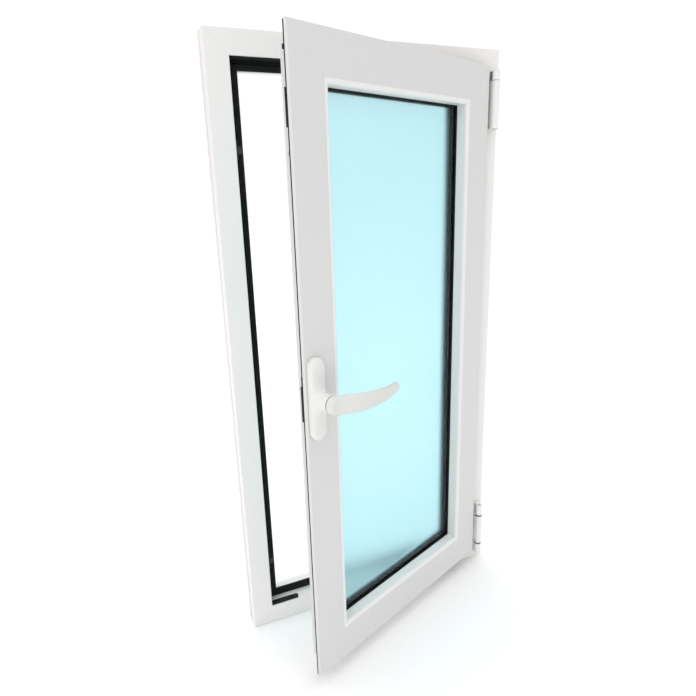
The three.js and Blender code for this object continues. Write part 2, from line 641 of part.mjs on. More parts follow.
const GLASS_EDGE = REBATE_AT + GLASS_EDGE_CLEARANCE;
const GLASS_FRONT = BEAD_DEPTH + GLAZING_GASKET;
const OUTER_PANE = GLASS_FRONT + PANE_THICKNESS + PANE_GAP;
const UNIT_BACK = OUTER_PANE + PANE_THICKNESS;
const gasketReach = SIGHT + GLAZING_GASKET_REACH;
const spacerU = [GLASS_EDGE + GAP, GLASS_EDGE + SPACER_SIGHT];
const innerPaneV = [GLASS_FRONT, GLASS_FRONT + PANE_THICKNESS];
add(openedGroup, "inner_pane", ringPlate(SASH_RING, GLASS_EDGE, innerPaneV), glass());
add(openedGroup, "outer_pane", ringPlate(SASH_RING, GLASS_EDGE, [OUTER_PANE, UNIT_BACK]), glass());
const spacerV = [GLASS_FRONT + PANE_THICKNESS + GAP, OUTER_PANE - GAP];
add(openedGroup, "glass_spacer", ringPiece(SASH_RING, spacerU, spacerV), blackPlastic());
for (const [name, v] of [
  ["inner_glazing_gasket", [BEAD_DEPTH + GAP, GLASS_FRONT - GAP]],
  ["outer_glazing_gasket", [UNIT_BACK + GAP, LIP_V - GAP]],
])
  add(openedGroup, name, ringPiece(SASH_RING, [GLASS_EDGE, gasketReach], v), rubber());

const glassHalfWidth = SASH_RING.width / 2 - GLASS_EDGE;
for (const [name, sign] of [["setting_block_lock_side", -1], ["setting_block_hinge_side", 1]]) {
  const x = sign * (glassHalfWidth - SETTING_BLOCK_FROM_END - SETTING_BLOCK_LENGTH / 2);
  const settingBlock = block(
    [x - SETTING_BLOCK_LENGTH / 2, x + SETTING_BLOCK_LENGTH / 2],
    [SASH_FRONT + GLASS_FRONT, SASH_FRONT + UNIT_BACK],
    [SASH_BOTTOM + REBATE_AT + GAP, SASH_BOTTOM + GLASS_EDGE - GAP],
  );
  add(openedGroup, name, settingBlock, blackPlastic());
}

// Overlap gasket on the back of the sash flange, thinned where the hinge links pass
const OVERLAP_GASKET_U = [0.8, 5.2];
const OVERLAP_GASKET_THICKNESS = 2.6;
const overlapV = [FLANGE_THICKNESS + GAP, FLANGE_THICKNESS + GAP + OVERLAP_GASKET_THICKNESS];
const notchX = [JAMB_WALL, HINGE_X];
const NOTCH_CLEARANCE = 0.4; // room side of the link
const notchY = [LINK_Y[0] - NOTCH_CLEARANCE, ROOM_FACE];
const NOTCH_MARGIN = 4;
const overlapGasket = cut(
  ringPiece(SASH_RING, OVERLAP_GASKET_U, overlapV),
  block(notchX, notchY, [LINK_Z[0] - NOTCH_MARGIN, LINK_Z[1] + NOTCH_MARGIN]),
  block(notchX, notchY, [STAY_KNUCKLE_Z[0] - NOTCH_MARGIN, STAY_KNUCKLE_Z[1] + OVERCUT]),
);
add(openedGroup, "overlap_gasket", overlapGasket, rubber());

// Tilt bearing: a saddle under the sash that rides on the tilt pin
const BEARING_HALF_DEPTH = 6;
const BEARING_END_GAP = 6;
const BEARING_PAST_PIN = 2;
const bearingX = [tiltPinX[0] - BEARING_PAST_PIN, CORNER_X[0] - BEARING_END_GAP];
const bearingY = [TILT_Y - BEARING_HALF_DEPTH, TILT_Y + BEARING_HALF_DEPTH];
const tiltBearing = cut(
  block(bearingX, bearingY, [TILT_Z, SASH_BOTTOM + FLANGE_REACH - GAP]),
  bar(tiltBore, [bearingX[0] - OVERCUT, bearingX[1] + OVERCUT], TILT_Y, TILT_Z),
);
add(openedGroup, "tilt_bearing", tiltBearing, zinc());

// Stay guide in the sash head, and the slider that runs in it
const STAY_GUIDE = { lip: 2.3, floor: 1.2, wall: 1.8, lock_end: 30, hinge_end: 90 };
const SLIDER = { half_length: 7, height: 2.3, hole: 2.5 };
const guideZ = [SASH_TOP - POCKET_U, SASH_TOP - FLANGE_REACH + STAY_GUIDE.lip];
const slotFloor = guideZ[0] + STAY_GUIDE.floor;
const guideX = [STAY_PIN_X - STAY_GUIDE.lock_end, STAY_PIN_X + STAY_GUIDE.hinge_end];
const channelY = [SLOT_Y[0] + STAY_GUIDE.wall, SLOT_Y[1] - STAY_GUIDE.wall];
const trackX = [guideX[0] + STAY_GUIDE.wall, guideX[1] - STAY_GUIDE.wall];
const guideTrack = block(trackX, channelY, [slotFloor, guideZ[1] + OVERCUT]);
add(openedGroup, "stay_guide", cut(block(guideX, SLOT_Y, guideZ), guideTrack), zinc());
const sliderZ = [slotFloor + GAP, slotFloor + GAP + SLIDER.height];
const staySlider = cut(
  block(
    [STAY_PIN_X - SLIDER.half_length, STAY_PIN_X + SLIDER.half_length],
    [channelY[0] + GAP, channelY[1] - GAP],
    sliderZ,
  ),
  post(SLIDER.hole, STAY_PIN_X, GROOVE_Y, [sliderZ[0] - OVERCUT, sliderZ[1] + OVERCUT]),
);
add(openedGroup, "stay_slider", staySlider, blackPlastic());

// Corner drives at the lock side: angle pieces that carry the steel strip round the corner
const CORNER_DRIVE_NEAR = 12.5; // its outer face, in from the sash's edge
const TOP_DRIVE = { stile_leg: 74, rail_leg: 49 };
const BOTTOM_DRIVE = { stile_leg: 51, rail_leg: 8.5 };
function cornerDrive(signZ, { stile_leg: stileLeg, rail_leg: railLeg }) {
  const x = (u) => LOCK_EDGE + u;
  const z = (u) => MIDDLE + signZ * (SASH_RING.height / 2 - u);
  const [near, far] = [CORNER_DRIVE_NEAR, POCKET_U];
  const points = [
    [near, near],
    [near + railLeg, near],
    [near + railLeg, far],
    [far, far],
    [far, near + stileLeg],
    [near, near + stileLeg],
  ];
  return pushedY(shapeOf(points.map(([a, b]) => [x(a), z(b)])), SLOT_Y);
}
add(openedGroup, "corner_drive_top", cornerDrive(1, TOP_DRIVE), blackPlastic());
add(openedGroup, "corner_drive_bottom", cornerDrive(-1, BOTTOM_DRIVE), blackPlastic());

// Drive rods in the groove. A rod lies in the pocket and a cam stands out of the opening.
const CAM_STEM_RADIUS = 1.8;
const ROD_END = 60;
const rodAtLock = [LOCK_EDGE + ROD_U[0], LOCK_EDGE + ROD_U[1]];
const lockRodZ = [SASH_BOTTOM + ROD_END, SASH_TOP - ROD_END];
add(openedGroup, "lock_stile_rod", block(rodAtLock, ROD_Y, lockRodZ), rawAluminium());

const headU = [FLANGE_REACH - CAM_REACH, FLANGE_REACH - GAP];
const stemU = [headU[1] - OVERCUT, POCKET_U];
function stileCam(z) {
  const at = ([from, to]) => [LOCK_EDGE + from, LOCK_EDGE + to];
  return join(bar(CAM_RADIUS, at(headU), CAM_Y, z), bar(CAM_STEM_RADIUS, at(stemU), CAM_Y, z));
}
add(openedGroup, "cam_upper", stileCam(UPPER_CAM_Z), steel());
add(openedGroup, "cam_lower", stileCam(LOWER_CAM_HEIGHT), steel());

function railRod([x0, x1], camX, height) {
  const span = ([from, to]) => [height(from), height(to)].sort((a, b) => a - b);
  const rod = block([x0, x1], ROD_Y, span(ROD_U));
  const stem = post(CAM_STEM_RADIUS, camX, CAM_Y, span([stemU[0], ROD_U[1] - GAP]));
  return join(rod, stem, post(CAM_RADIUS, camX, CAM_Y, span(headU)));
}
const TOP_ROD = { lock_end: 40, hinge_end: 35 };
const topRodX = [TOP_CAM_X - TOP_ROD.lock_end, TOP_CAM_X + TOP_ROD.hinge_end];
add(openedGroup, "top_rail_rod", railRod(topRodX, TOP_CAM_X, (u) => SASH_TOP - u), rawAluminium());
const BOTTOM_ROD = { lock_end: 6, hinge_end: 78 };
const bottomRodX = [BOTTOM_CAM_X - BOTTOM_ROD.lock_end, BOTTOM_CAM_X + BOTTOM_ROD.hinge_end];
const bottomRod = railRod(bottomRodX, BOTTOM_CAM_X, (u) => SASH_BOTTOM + u);
add(openedGroup, "bottom_rail_rod", bottomRod, rawAluminium());

// Drive carriage: the stepped black block clipped on the rod beside the handle
const CARRIAGE_STEPS = [
  { z: [-30, -9], u: 14 },
  { z: [-9, 14], u: 11.5 },
  { z: [14, 36], u: 13 },
];
const carriageSteps = CARRIAGE_STEPS.map(({ z, u }) =>
  block([LOCK_EDGE + u, LOCK_EDGE + POCKET_U], SLOT_Y, [MIDDLE + z[0], MIDDLE + z[1]]),
);
add(openedGroup, "drive_carriage", join(...carriageSteps), blackPlastic());

// Drive rack inside the handle base, with two pins through the stile to the rod
const RACK_THICKNESS = 2.1;
const RACK_HALF_LENGTH = 30;
const GEAR_STANDOFF = 3;
const GEAR_Y = [SASH_FRONT - GEAR_STANDOFF - PINION_THICKNESS, SASH_FRONT - GEAR_STANDOFF];
const rackX = [HANDLE_X - PINION_RADIUS - GAP - RACK_THICKNESS, HANDLE_X - PINION_RADIUS - GAP];
const RACK_PIN_GAP = 0.5;
const pinX = [LOCK_EDGE + POCKET_U + RACK_PIN_GAP, LOCK_EDGE + GROOVE_FLOOR - RACK_PIN_GAP];
const rackPins = [1, -1].flatMap((sign) => {
  const z = RACK_PIN_Z.map((height) => MIDDLE + sign * height).sort((a, b) => a - b);
  return [block([rackX[0], pinX[1]], GEAR_Y, z), block(pinX, [GEAR_Y[0], ROD_Y[0] - GAP], z)];
});
const rackZ = [MIDDLE - RACK_HALF_LENGTH, MIDDLE + RACK_HALF_LENGTH];
const driveRack = join(block(rackX, GEAR_Y, rackZ), ...rackPins);
add(openedGroup, "drive_rack", driveRack, zinc());

// Handle: base with a hub, pinion with its spindle, and the bowed lever
function stadium(halfWidth, halfHeight) {
  const straight = halfHeight - halfWidth;
  return shapeOf([
    ...arc(HANDLE_X, MIDDLE + straight, halfWidth, 0, Math.PI, 10),
    ...arc(HANDLE_X, MIDDLE - straight, halfWidth, Math.PI, 2 * Math.PI, 10),
  ]);
}
const baseHalf = [HANDLE_BASE_WIDTH / 2, HANDLE_BASE_HEIGHT / 2];
const basePlate = pushedY(stadium(...baseHalf), [SASH_FRONT - HANDLE_BASE_THICKNESS, SASH_FRONT - GAP]);
const baseHollow = pushedY(
  stadium(baseHalf[0] - HANDLE_WALL, baseHalf[1] - HANDLE_WALL),
  [SASH_FRONT - HANDLE_BASE_THICKNESS + HANDLE_WALL, SASH_FRONT + OVERCUT],
);
const hubBore = SPINDLE_RADIUS + GAP;
const fixedHubY = [SASH_FRONT - HUB_FACE, SASH_FRONT - HANDLE_BASE_THICKNESS + OVERCUT];
const fixedHub = boss(HUB_RADIUS - GAP, HANDLE_X, fixedHubY, MIDDLE);
const handleBase = cut(
  join(basePlate, fixedHub),
  baseHollow,
  boss(hubBore, HANDLE_X, [SASH_FRONT - LEVER_FRONT, SASH_FRONT], MIDDLE),
);
add(openedGroup, "handle_base", handleBase, whitePlastic());

const TOOTH_DEPTH = 1.5;
function pinionOutline() {
  const count = PINION_TEETH * 4;
  return Array.from({ length: count }, (_, i) => {
    const radius = PINION_RADIUS - GAP - (i % 4 < 2 ? 0 : TOOTH_DEPTH);
    const angle = (2 * Math.PI * i) / count;
    return [HANDLE_X + radius * Math.cos(angle), MIDDLE + radius * Math.sin(angle)];
  });
}
const SPINDLE_IN_LEVER = 8;
const HUB_GAP = 0.4; // between the fixed hub and the lever's
const leverBack = SASH_FRONT - HUB_FACE - HUB_GAP;
const spindlePinion = join(
  pushedY(shapeOf(pinionOutline()), GEAR_Y),
  boss(SPINDLE_RADIUS, HANDLE_X, [leverBack - SPINDLE_IN_LEVER, GEAR_Y[1]], MIDDLE),
);
add(openedGroup, "spindle_pinion", spindlePinion, steel());

const LEVER_STEPS = 12;
const leverParts = Array.from({ length: LEVER_STEPS + 1 }, (_, i) => i / LEVER_STEPS);
const leverFront = SASH_FRONT - LEVER_FRONT;
const bowAt = (t) =>
  leverFront + LEVER_THICKNESS / 2 - LEVER_TIP_RISE * t - LEVER_BOW * Math.sin(Math.PI * t);
const leverX = (t) => HANDLE_X + LEVER_LENGTH * t;
// The plan outline is drawn as (x, -y), which the quarter turn below stands up as (x, y)
const leverPlan = shapeOf([
  ...leverParts.map((t) => [leverX(t), bowAt(t) - LEVER_THICKNESS / 2]),
  ...leverParts.toReversed().map((t) => [leverX(t), bowAt(t) + LEVER_THICKNESS / 2]),
]);
const leverBar = extruded(leverPlan, 2 * HUB_RADIUS).translate(0, 0, MIDDLE - HUB_RADIUS);
const rootHalf = HUB_RADIUS - GAP;
const halfHeightAt = (t) =>
  rootHalf + (LEVER_TIP_HEIGHT / 2 - rootHalf) * t + LEVER_SWELL * 4 * t * (1 - t);
const leverElevation = shapeOf([
  ...leverParts.map((t) => [leverX(t), MIDDLE - halfHeightAt(t)]),
  ...leverParts.toReversed().map((t) => [leverX(t), MIDDLE + halfHeightAt(t)]),
]);
const leverTaper = pushedY(leverElevation, [leverFront - LEVER_TIP_RISE - 2 * LEVER_BOW, SASH_FRONT]);
const leverHub = boss(HUB_RADIUS - GAP, HANDLE_X, [leverFront, leverBack], MIDDLE);
const handleLever = cut(
  join(common(leverBar, leverTaper), leverHub),
  boss(hubBore, HANDLE_X, [leverBack - SPINDLE_IN_LEVER - GAP, SASH_FRONT], MIDDLE),
);
add(openedGroup, "handle_lever", handleLever, whitePlastic());

export default casementWindow;
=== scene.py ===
"""A white aluminium tilt-and-turn window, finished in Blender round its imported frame.

Every length is in metres, in the row frame: +X towards the hinges, +Y outdoors, +Z up. Pieces on the
sash are built with the sash shut, then swung to their resting place about the hinge axis.
"""

import json
import logging
import math
from dataclasses import dataclass, field
from enum import Enum
from typing import Callable, Iterable, Sequence

import bmesh
import bpy
from mathutils import Matrix, Vector

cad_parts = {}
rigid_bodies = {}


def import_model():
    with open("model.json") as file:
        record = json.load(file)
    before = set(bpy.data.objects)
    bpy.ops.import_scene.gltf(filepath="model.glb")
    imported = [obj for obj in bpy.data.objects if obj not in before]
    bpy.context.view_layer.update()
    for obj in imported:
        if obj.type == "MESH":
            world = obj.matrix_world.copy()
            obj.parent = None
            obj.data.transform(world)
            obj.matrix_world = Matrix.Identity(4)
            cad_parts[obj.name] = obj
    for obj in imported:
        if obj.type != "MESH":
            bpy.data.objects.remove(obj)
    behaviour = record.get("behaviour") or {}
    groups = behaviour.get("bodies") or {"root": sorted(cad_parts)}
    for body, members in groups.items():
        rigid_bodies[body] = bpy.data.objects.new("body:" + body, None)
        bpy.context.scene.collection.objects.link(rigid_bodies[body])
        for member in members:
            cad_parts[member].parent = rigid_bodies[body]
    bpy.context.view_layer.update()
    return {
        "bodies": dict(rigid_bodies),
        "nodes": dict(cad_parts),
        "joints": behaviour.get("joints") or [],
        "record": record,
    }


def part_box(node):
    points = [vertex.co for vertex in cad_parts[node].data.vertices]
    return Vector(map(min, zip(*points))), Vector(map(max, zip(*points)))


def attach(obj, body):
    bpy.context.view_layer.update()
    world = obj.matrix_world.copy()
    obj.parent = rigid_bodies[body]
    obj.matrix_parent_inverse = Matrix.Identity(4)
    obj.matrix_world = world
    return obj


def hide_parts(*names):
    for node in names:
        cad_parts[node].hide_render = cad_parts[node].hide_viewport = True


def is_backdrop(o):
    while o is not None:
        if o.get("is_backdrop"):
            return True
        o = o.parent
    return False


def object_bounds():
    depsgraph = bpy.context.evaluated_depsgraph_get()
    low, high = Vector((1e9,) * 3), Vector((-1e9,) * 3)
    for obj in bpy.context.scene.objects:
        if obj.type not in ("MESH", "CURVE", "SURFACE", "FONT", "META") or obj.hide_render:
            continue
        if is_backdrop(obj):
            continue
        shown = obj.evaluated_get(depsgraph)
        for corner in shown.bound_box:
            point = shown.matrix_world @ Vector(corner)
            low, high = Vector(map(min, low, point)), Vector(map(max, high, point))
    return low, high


LOG = logging.getLogger("window")
MM = 0.001
SMOOTH_ANGLE = math.radians(32.0)
MERGE_DISTANCE = 1e-7
PACKED_MERGE_DISTANCE = 2e-6
FLAT_ANGLE = math.radians(1.0)
MITRE_GAP = 0.00006

# Millimetres, on the bottom hinge
SHADE_RING_BEVEL = 0.3
KNUCKLE_GAP = 0.6

# Shared by every painted, moulded or cast surface
BROAD_DETAIL, FINE_DETAIL, GRAIN_DETAIL, DRAWN_DETAIL = 4.0, 2.0, 1.0, 3.0
NOISE_LOW, NOISE_HIGH = 0.3, 0.7
MOTTLE_HEIGHT = 0.35
COAT_ROUGHNESS = 0.12

Point = tuple[float, float]
Loop = list[Point]
Colour = tuple[float, float, float]
DUST_COLOUR = (0.55, 0.53, 0.49, 1.0)


class Side(Enum):
    """The four sides of a rectangular ring, with the turn that takes the bottom bar to each."""

    BOTTOM = 0.0
    HINGE = -math.pi / 2
    TOP = math.pi
    LOCK = math.pi / 2

    @property
    def level(self) -> bool:
        """True for the two sides that lie level."""
        return self in (Side.BOTTOM, Side.TOP)


class Body(str, Enum):
    """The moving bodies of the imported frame."""

    FRAME = "frame"
    CARRIER = "carrier"
    STAY = "stay"
    SASH = "sash"
    SLIDER = "slider"
    LEVER = "lever"
    STILE_ROD = "stile_rod"
    HEAD_ROD = "head_rod"
    FOOT_ROD = "foot_rod"


# ---------------------------------------------------------------- finishes


def new_group(name: str, inputs: dict[str, float | Colour], outputs: dict[str, str]) -> bpy.types.NodeTree:
    """Makes an empty shader node group with named sockets.

    Args:
        name: The group's name.
        inputs: Socket name to default; a number makes a float socket and a triple a colour.
        outputs: Socket name to socket type.

    Returns:
        The group, with its input and output nodes placed.
    """
    group = bpy.data.node_groups.new(name, "ShaderNodeTree")
    for label, value in inputs.items():
        kind = "NodeSocketFloat" if isinstance(value, float) else "NodeSocketColor"
        socket = group.interface.new_socket(name=label, in_out="INPUT", socket_type=kind)
        socket.default_value = value if isinstance(value, float) else (*value, 1.0)
    for label, kind in outputs.items():
        group.interface.new_socket(name=label, in_out="OUTPUT", socket_type=kind)
    group.nodes.new("NodeGroupInput").name = "in"
    group.nodes.new("NodeGroupOutput").name = "out"
    return group


def link(tree: bpy.types.NodeTree, source: bpy.types.NodeSocket, target: bpy.types.NodeSocket) -> None:
    """Joins two sockets of one tree."""
    tree.links.new(source, target)


def feed(tree: bpy.types.NodeTree, value: object, target: bpy.types.NodeSocket) -> None:
    """Gives an input its value: a number or a colour is set, and a socket is joined to it."""
    if isinstance(value, (float, tuple)):
        target.default_value = value
    else:
        link(tree, value, target)


def noise(
    tree: bpy.types.NodeTree, vector: bpy.types.NodeSocket, scale: object, detail: float
) -> bpy.types.NodeSocket:
    """Adds a noise texture on a vector.

    Args:
        tree: The tree that gets the node.
        vector: The coordinates.
        scale: The noise's scale, a number or a socket.
        detail: Octaves of the noise.

    Returns:
        The noise value.
    """
    node = tree.nodes.new("ShaderNodeTexNoise")
    node.inputs["Detail"].default_value = detail
    feed(tree, scale, node.inputs["Scale"])
    link(tree, vector, node.inputs["Vector"])
    return node.outputs["Fac"]


def ranged(
    tree: bpy.types.NodeTree, value: bpy.types.NodeSocket, low: float, high: float
) -> bpy.types.NodeSocket:
    """Spreads the range where noise mostly lies over low..high.

    Args:
        tree: The tree that gets the node.
        value: The noise value.
        low: Result at NOISE_LOW.
        high: Result at NOISE_HIGH.

    Returns:
        The spread value.
    """
    node = tree.nodes.new("ShaderNodeMapRange")
    limits = {"From Min": NOISE_LOW, "From Max": NOISE_HIGH, "To Min": low, "To Max": high}
    for label, number in limits.items():
        node.inputs[label].default_value = number
    link(tree, value, node.inputs["Value"])
    return node.outputs["Result"]


def calculated(tree: bpy.types.NodeTree, operation: str, *values: object) -> bpy.types.NodeSocket:
    """Adds a Math node.

    Args:
        tree: The tree that gets the node.
        operation: What the node does.
        values: Its inputs in order, each a number or a socket.

    Returns:
        The node's result.
    """
    node = tree.nodes.new("ShaderNodeMath")
    node.operation = operation
    for value, target in zip(values, node.inputs):
        feed(tree, value, target)
    return node.outputs[0]


def mixed(tree: bpy.types.NodeTree, share: object, first: object, second: object) -> bpy.types.NodeSocket:
    """Adds a colour mix.

    Args:
        tree: The tree that gets the node.
        share: How much of the second colour shows.
        first: A colour or a socket.
        second: A colour or a socket.

    Returns:
        The mixed colour.
    """
    node = tree.nodes.new("ShaderNodeMix")
    node.data_type = "RGBA"
    for label, value in (("Factor", share), ("A", first), ("B", second)):
        feed(tree, value, node.inputs[label])
    return node.outputs["Result"]


def surface_group() -> bpy.types.NodeTree:
    """Builds the shared surface effect: broad tone drift, fine mottle, dust near the ground and grain height.

    Returns:
        A group with outputs Colour, Roughness and Height.
    """
    group = new_group(
        "surface_variation",
        {
            "Base": (0.8, 0.8, 0.8),
            "Shade": (0.7, 0.7, 0.7),
            "Broad Scale": 6.0,
            "Fine Scale": 220.0,
            "Grain Scale": 1400.0,
            "Drift": 0.3,
            "Roughness": 0.45,
            "Roughness Spread": 0.08,
            "Dust": 0.0,
            "Dust Height": 0.12,
        },
        {"Colour": "NodeSocketColor", "Roughness": "NodeSocketFloat", "Height": "NodeSocketFloat"},
    )
    given, out = group.nodes["in"].outputs, group.nodes["out"].inputs
    coordinates = group.nodes.new("ShaderNodeTexCoord").outputs["Object"]
    broad = noise(group, coordinates, given["Broad Scale"], BROAD_DETAIL)
    fine = noise(group, coordinates, given["Fine Scale"], FINE_DETAIL)
    grain = noise(group, coordinates, given["Grain Scale"], GRAIN_DETAIL)
    amount = calculated(group, "MULTIPLY", ranged(group, broad, 0.0, 1.0), given["Drift"])
    tone = mixed(group, amount, given["Base"], given["Shade"])

    # Dust gathers low down, broken up by the fine noise
    split = group.nodes.new("ShaderNodeSeparateXYZ")
    link(group, coordinates, split.inputs[0])
    low = group.nodes.new("ShaderNodeMapRange")
    for label, value in (
        ("Value", split.outputs["Z"]),
        ("From Min", 0.0),
        ("From Max", given["Dust Height"]),
        ("To Min", 1.0),
        ("To Max", 0.0),
    ):
        feed(group, value, low.inputs[label])
    patchy = calculated(group, "MULTIPLY", low.outputs["Result"], fine)
    dust = calculated(group, "MULTIPLY", patchy, given["Dust"])
    link(group, mixed(group, dust, tone, DUST_COLOUR), out["Colour"])

    swing = ranged(group, fine, -1.0, 1.0)
    rough = calculated(group, "MULTIPLY_ADD", swing, given["Roughness Spread"], given["Roughness"])
    link(group, rough, out["Roughness"])
    link(group, calculated(group, "MULTIPLY_ADD", fine, MOTTLE_HEIGHT, grain), out["Height"])
    return group


def brushed_group() -> bpy.types.NodeTree:
    """Builds a drawn-metal effect: noise stretched along one row axis.

    Returns:
        A group with outputs Mask and Height.
    """
    group = new_group(
        "drawn_metal",
        {"Across": 900.0, "Along": 8.0},
        {"Mask": "NodeSocketFloat", "Height": "NodeSocketFloat"},
    )
    given, out = group.nodes["in"].outputs, group.nodes["out"].inputs
    scale = group.nodes.new("ShaderNodeCombineXYZ")
    for label, target in (("Across", "X"), ("Across", "Y"), ("Along", "Z")):
        link(group, given[label], scale.inputs[target])
    stretched = group.nodes.new("ShaderNodeVectorMath")
    stretched.operation = "MULTIPLY"
    link(group, group.nodes.new("ShaderNodeTexCoord").outputs["Object"], stretched.inputs[0])
    link(group, scale.outputs[0], stretched.inputs[1])
    lines = noise(group, stretched.outputs[0], 1.0, DRAWN_DETAIL)
    link(group, ranged(group, lines, 0.0, 1.0), out["Mask"])
    link(group, lines, out["Height"])
    return group


class Effects:
    """The shader node groups, each built once."""

    def __init__(self) -> None:
        """Builds the groups."""
        self.surface = surface_group()
        self.brushed = brushed_group()


def principled(name: str, constants: dict[str, float]) -> tuple[bpy.types.Material, bpy.types.Node]:
    """Makes a material.

    Args:
        name: The material's name.
        constants: Values of the shader's own sockets.

    Returns:
        The material and its shader.
    """
    material = bpy.data.materials.new(name)
    material.use_nodes = True
    shader = material.node_tree.nodes["Principled BSDF"]
    for label, value in constants.items():
        shader.inputs[label].default_value = value
    return material, shader


def surfaced(tree: bpy.types.NodeTree, effects: Effects, settings: dict[str, object]) -> bpy.types.Node:
    """Adds the shared surface group.

    Args:
        tree: The material's tree.
        effects: The shared node groups.
        settings: Values of the group's inputs.

    Returns:
        The group's node.
    """
    surface = tree.nodes.new("ShaderNodeGroup")
    surface.node_tree = effects.surface
    for label, value in settings.items():
        surface.inputs[label].default_value = value
    return surface


@dataclass(frozen=True)
class Finish:
    """A painted, moulded or cast surface.

    The drift, dust and grain come from the shared surface group.
    """

    name: str
    base: Colour
    shade: Colour
    roughness: float
    roughness_spread: float = 0.06
    metallic: float = 0.0
    coat: float = 0.0
    bump: float = 0.12
    bump_distance: float = 0.00004
    broad_scale: float = 5.0
    fine_scale: float = 180.0
    grain_scale: float = 1500.0
    drift: float = 0.35
    dust: float = 0.0
    drawn: float = 0.0
    specular: float = 0.5

    def build(self, effects: Effects) -> bpy.types.Material:
        """Makes the material.

        Args:
            effects: The shared node groups.

        Returns:
            The material, with a Principled BSDF fed by the groups.
        """
        constants = {
            "Metallic": self.metallic,
            "Coat Weight": self.coat,
            "Coat Roughness": COAT_ROUGHNESS,
            "Specular IOR Level": self.specular,
        }
        settings = {
            "Base": (*self.base, 1.0),
            "Shade": (*self.shade, 1.0),
            "Broad Scale": self.broad_scale,
            "Fine Scale": self.fine_scale,
            "Grain Scale": self.grain_scale,
            "Drift": self.drift,
            "Roughness": self.roughness,
            "Roughness Spread": self.roughness_spread,
            "Dust": self.dust,
        }
        material, shader = principled(self.name, constants)
        tree = material.node_tree
        surface = surfaced(tree, effects, settings)
        colour, height = surface.outputs["Colour"], surface.outputs["Height"]
        if self.drawn > 0.0:
            colour, height = self._drawn(tree, effects, colour)
        link(tree, colour, shader.inputs["Base Color"])
        link(tree, surface.outputs["Roughness"], shader.inputs["Roughness"])
        bump = tree.nodes.new("ShaderNodeBump")
        bump.inputs["Strength"].default_value = self.bump
        bump.inputs["Distance"].default_value = self.bump_distance
        link(tree, height, bump.inputs["Height"])
        link(tree, bump.outputs["Normal"], shader.inputs["Normal"])
        return material

    def _drawn(
        self, tree: bpy.types.NodeTree, effects: Effects, colour: bpy.types.NodeSocket
    ) -> tuple[bpy.types.NodeSocket, bpy.types.NodeSocket]:
        """Adds the drawn-metal lines.

        Args:
            tree: The material's tree.
            effects: The shared node groups.
            colour: The colour so far.

        Returns:
            The new colour and height sockets.
        """
        lines = tree.nodes.new("ShaderNodeGroup")
        lines.node_tree = effects.brushed
        faded = calculated(tree, "MULTIPLY", lines.outputs["Mask"], self.drawn)
        return mixed(tree, faded, colour, (*self.shade, 1.0)), lines.outputs["Height"]


@dataclass(frozen=True)
class GlassFinish:
    """Glass, clear or satin, with a faint tint and traces of handling on its face."""

    name: str
    tint: Colour
    roughness: float = 0.0
    clear: float = 1.0
    ior: float = 1.08
    shade_share: float = 0.985

    def build(self, effects: Effects) -> bpy.types.Material:
        """Makes the glass material.

        Args:
            effects: The shared node groups.

        Returns:
            The material: plain transmission, with roughness that varies a little in patches.
        """
        constants = {"Transmission Weight": self.clear, "IOR": self.ior}
        settings = {
            "Base": (*self.tint, 1.0),
            "Shade": (*(channel * self.shade_share for channel in self.tint), 1.0),
            "Broad Scale": 3.0,
            "Fine Scale": 14.0,
            "Drift": 0.6,
            "Roughness": self.roughness,
            "Roughness Spread": 0.004,
        }
        material, shader = principled(self.name, constants)
        tree = material.node_tree
        surface = surfaced(tree, effects, settings)
        link(tree, surface.outputs["Colour"], shader.inputs["Base Color"])
        link(tree, calculated(tree, "MAXIMUM", surface.outputs["Roughness"], 0.0), shader.inputs["Roughness"])
        return material


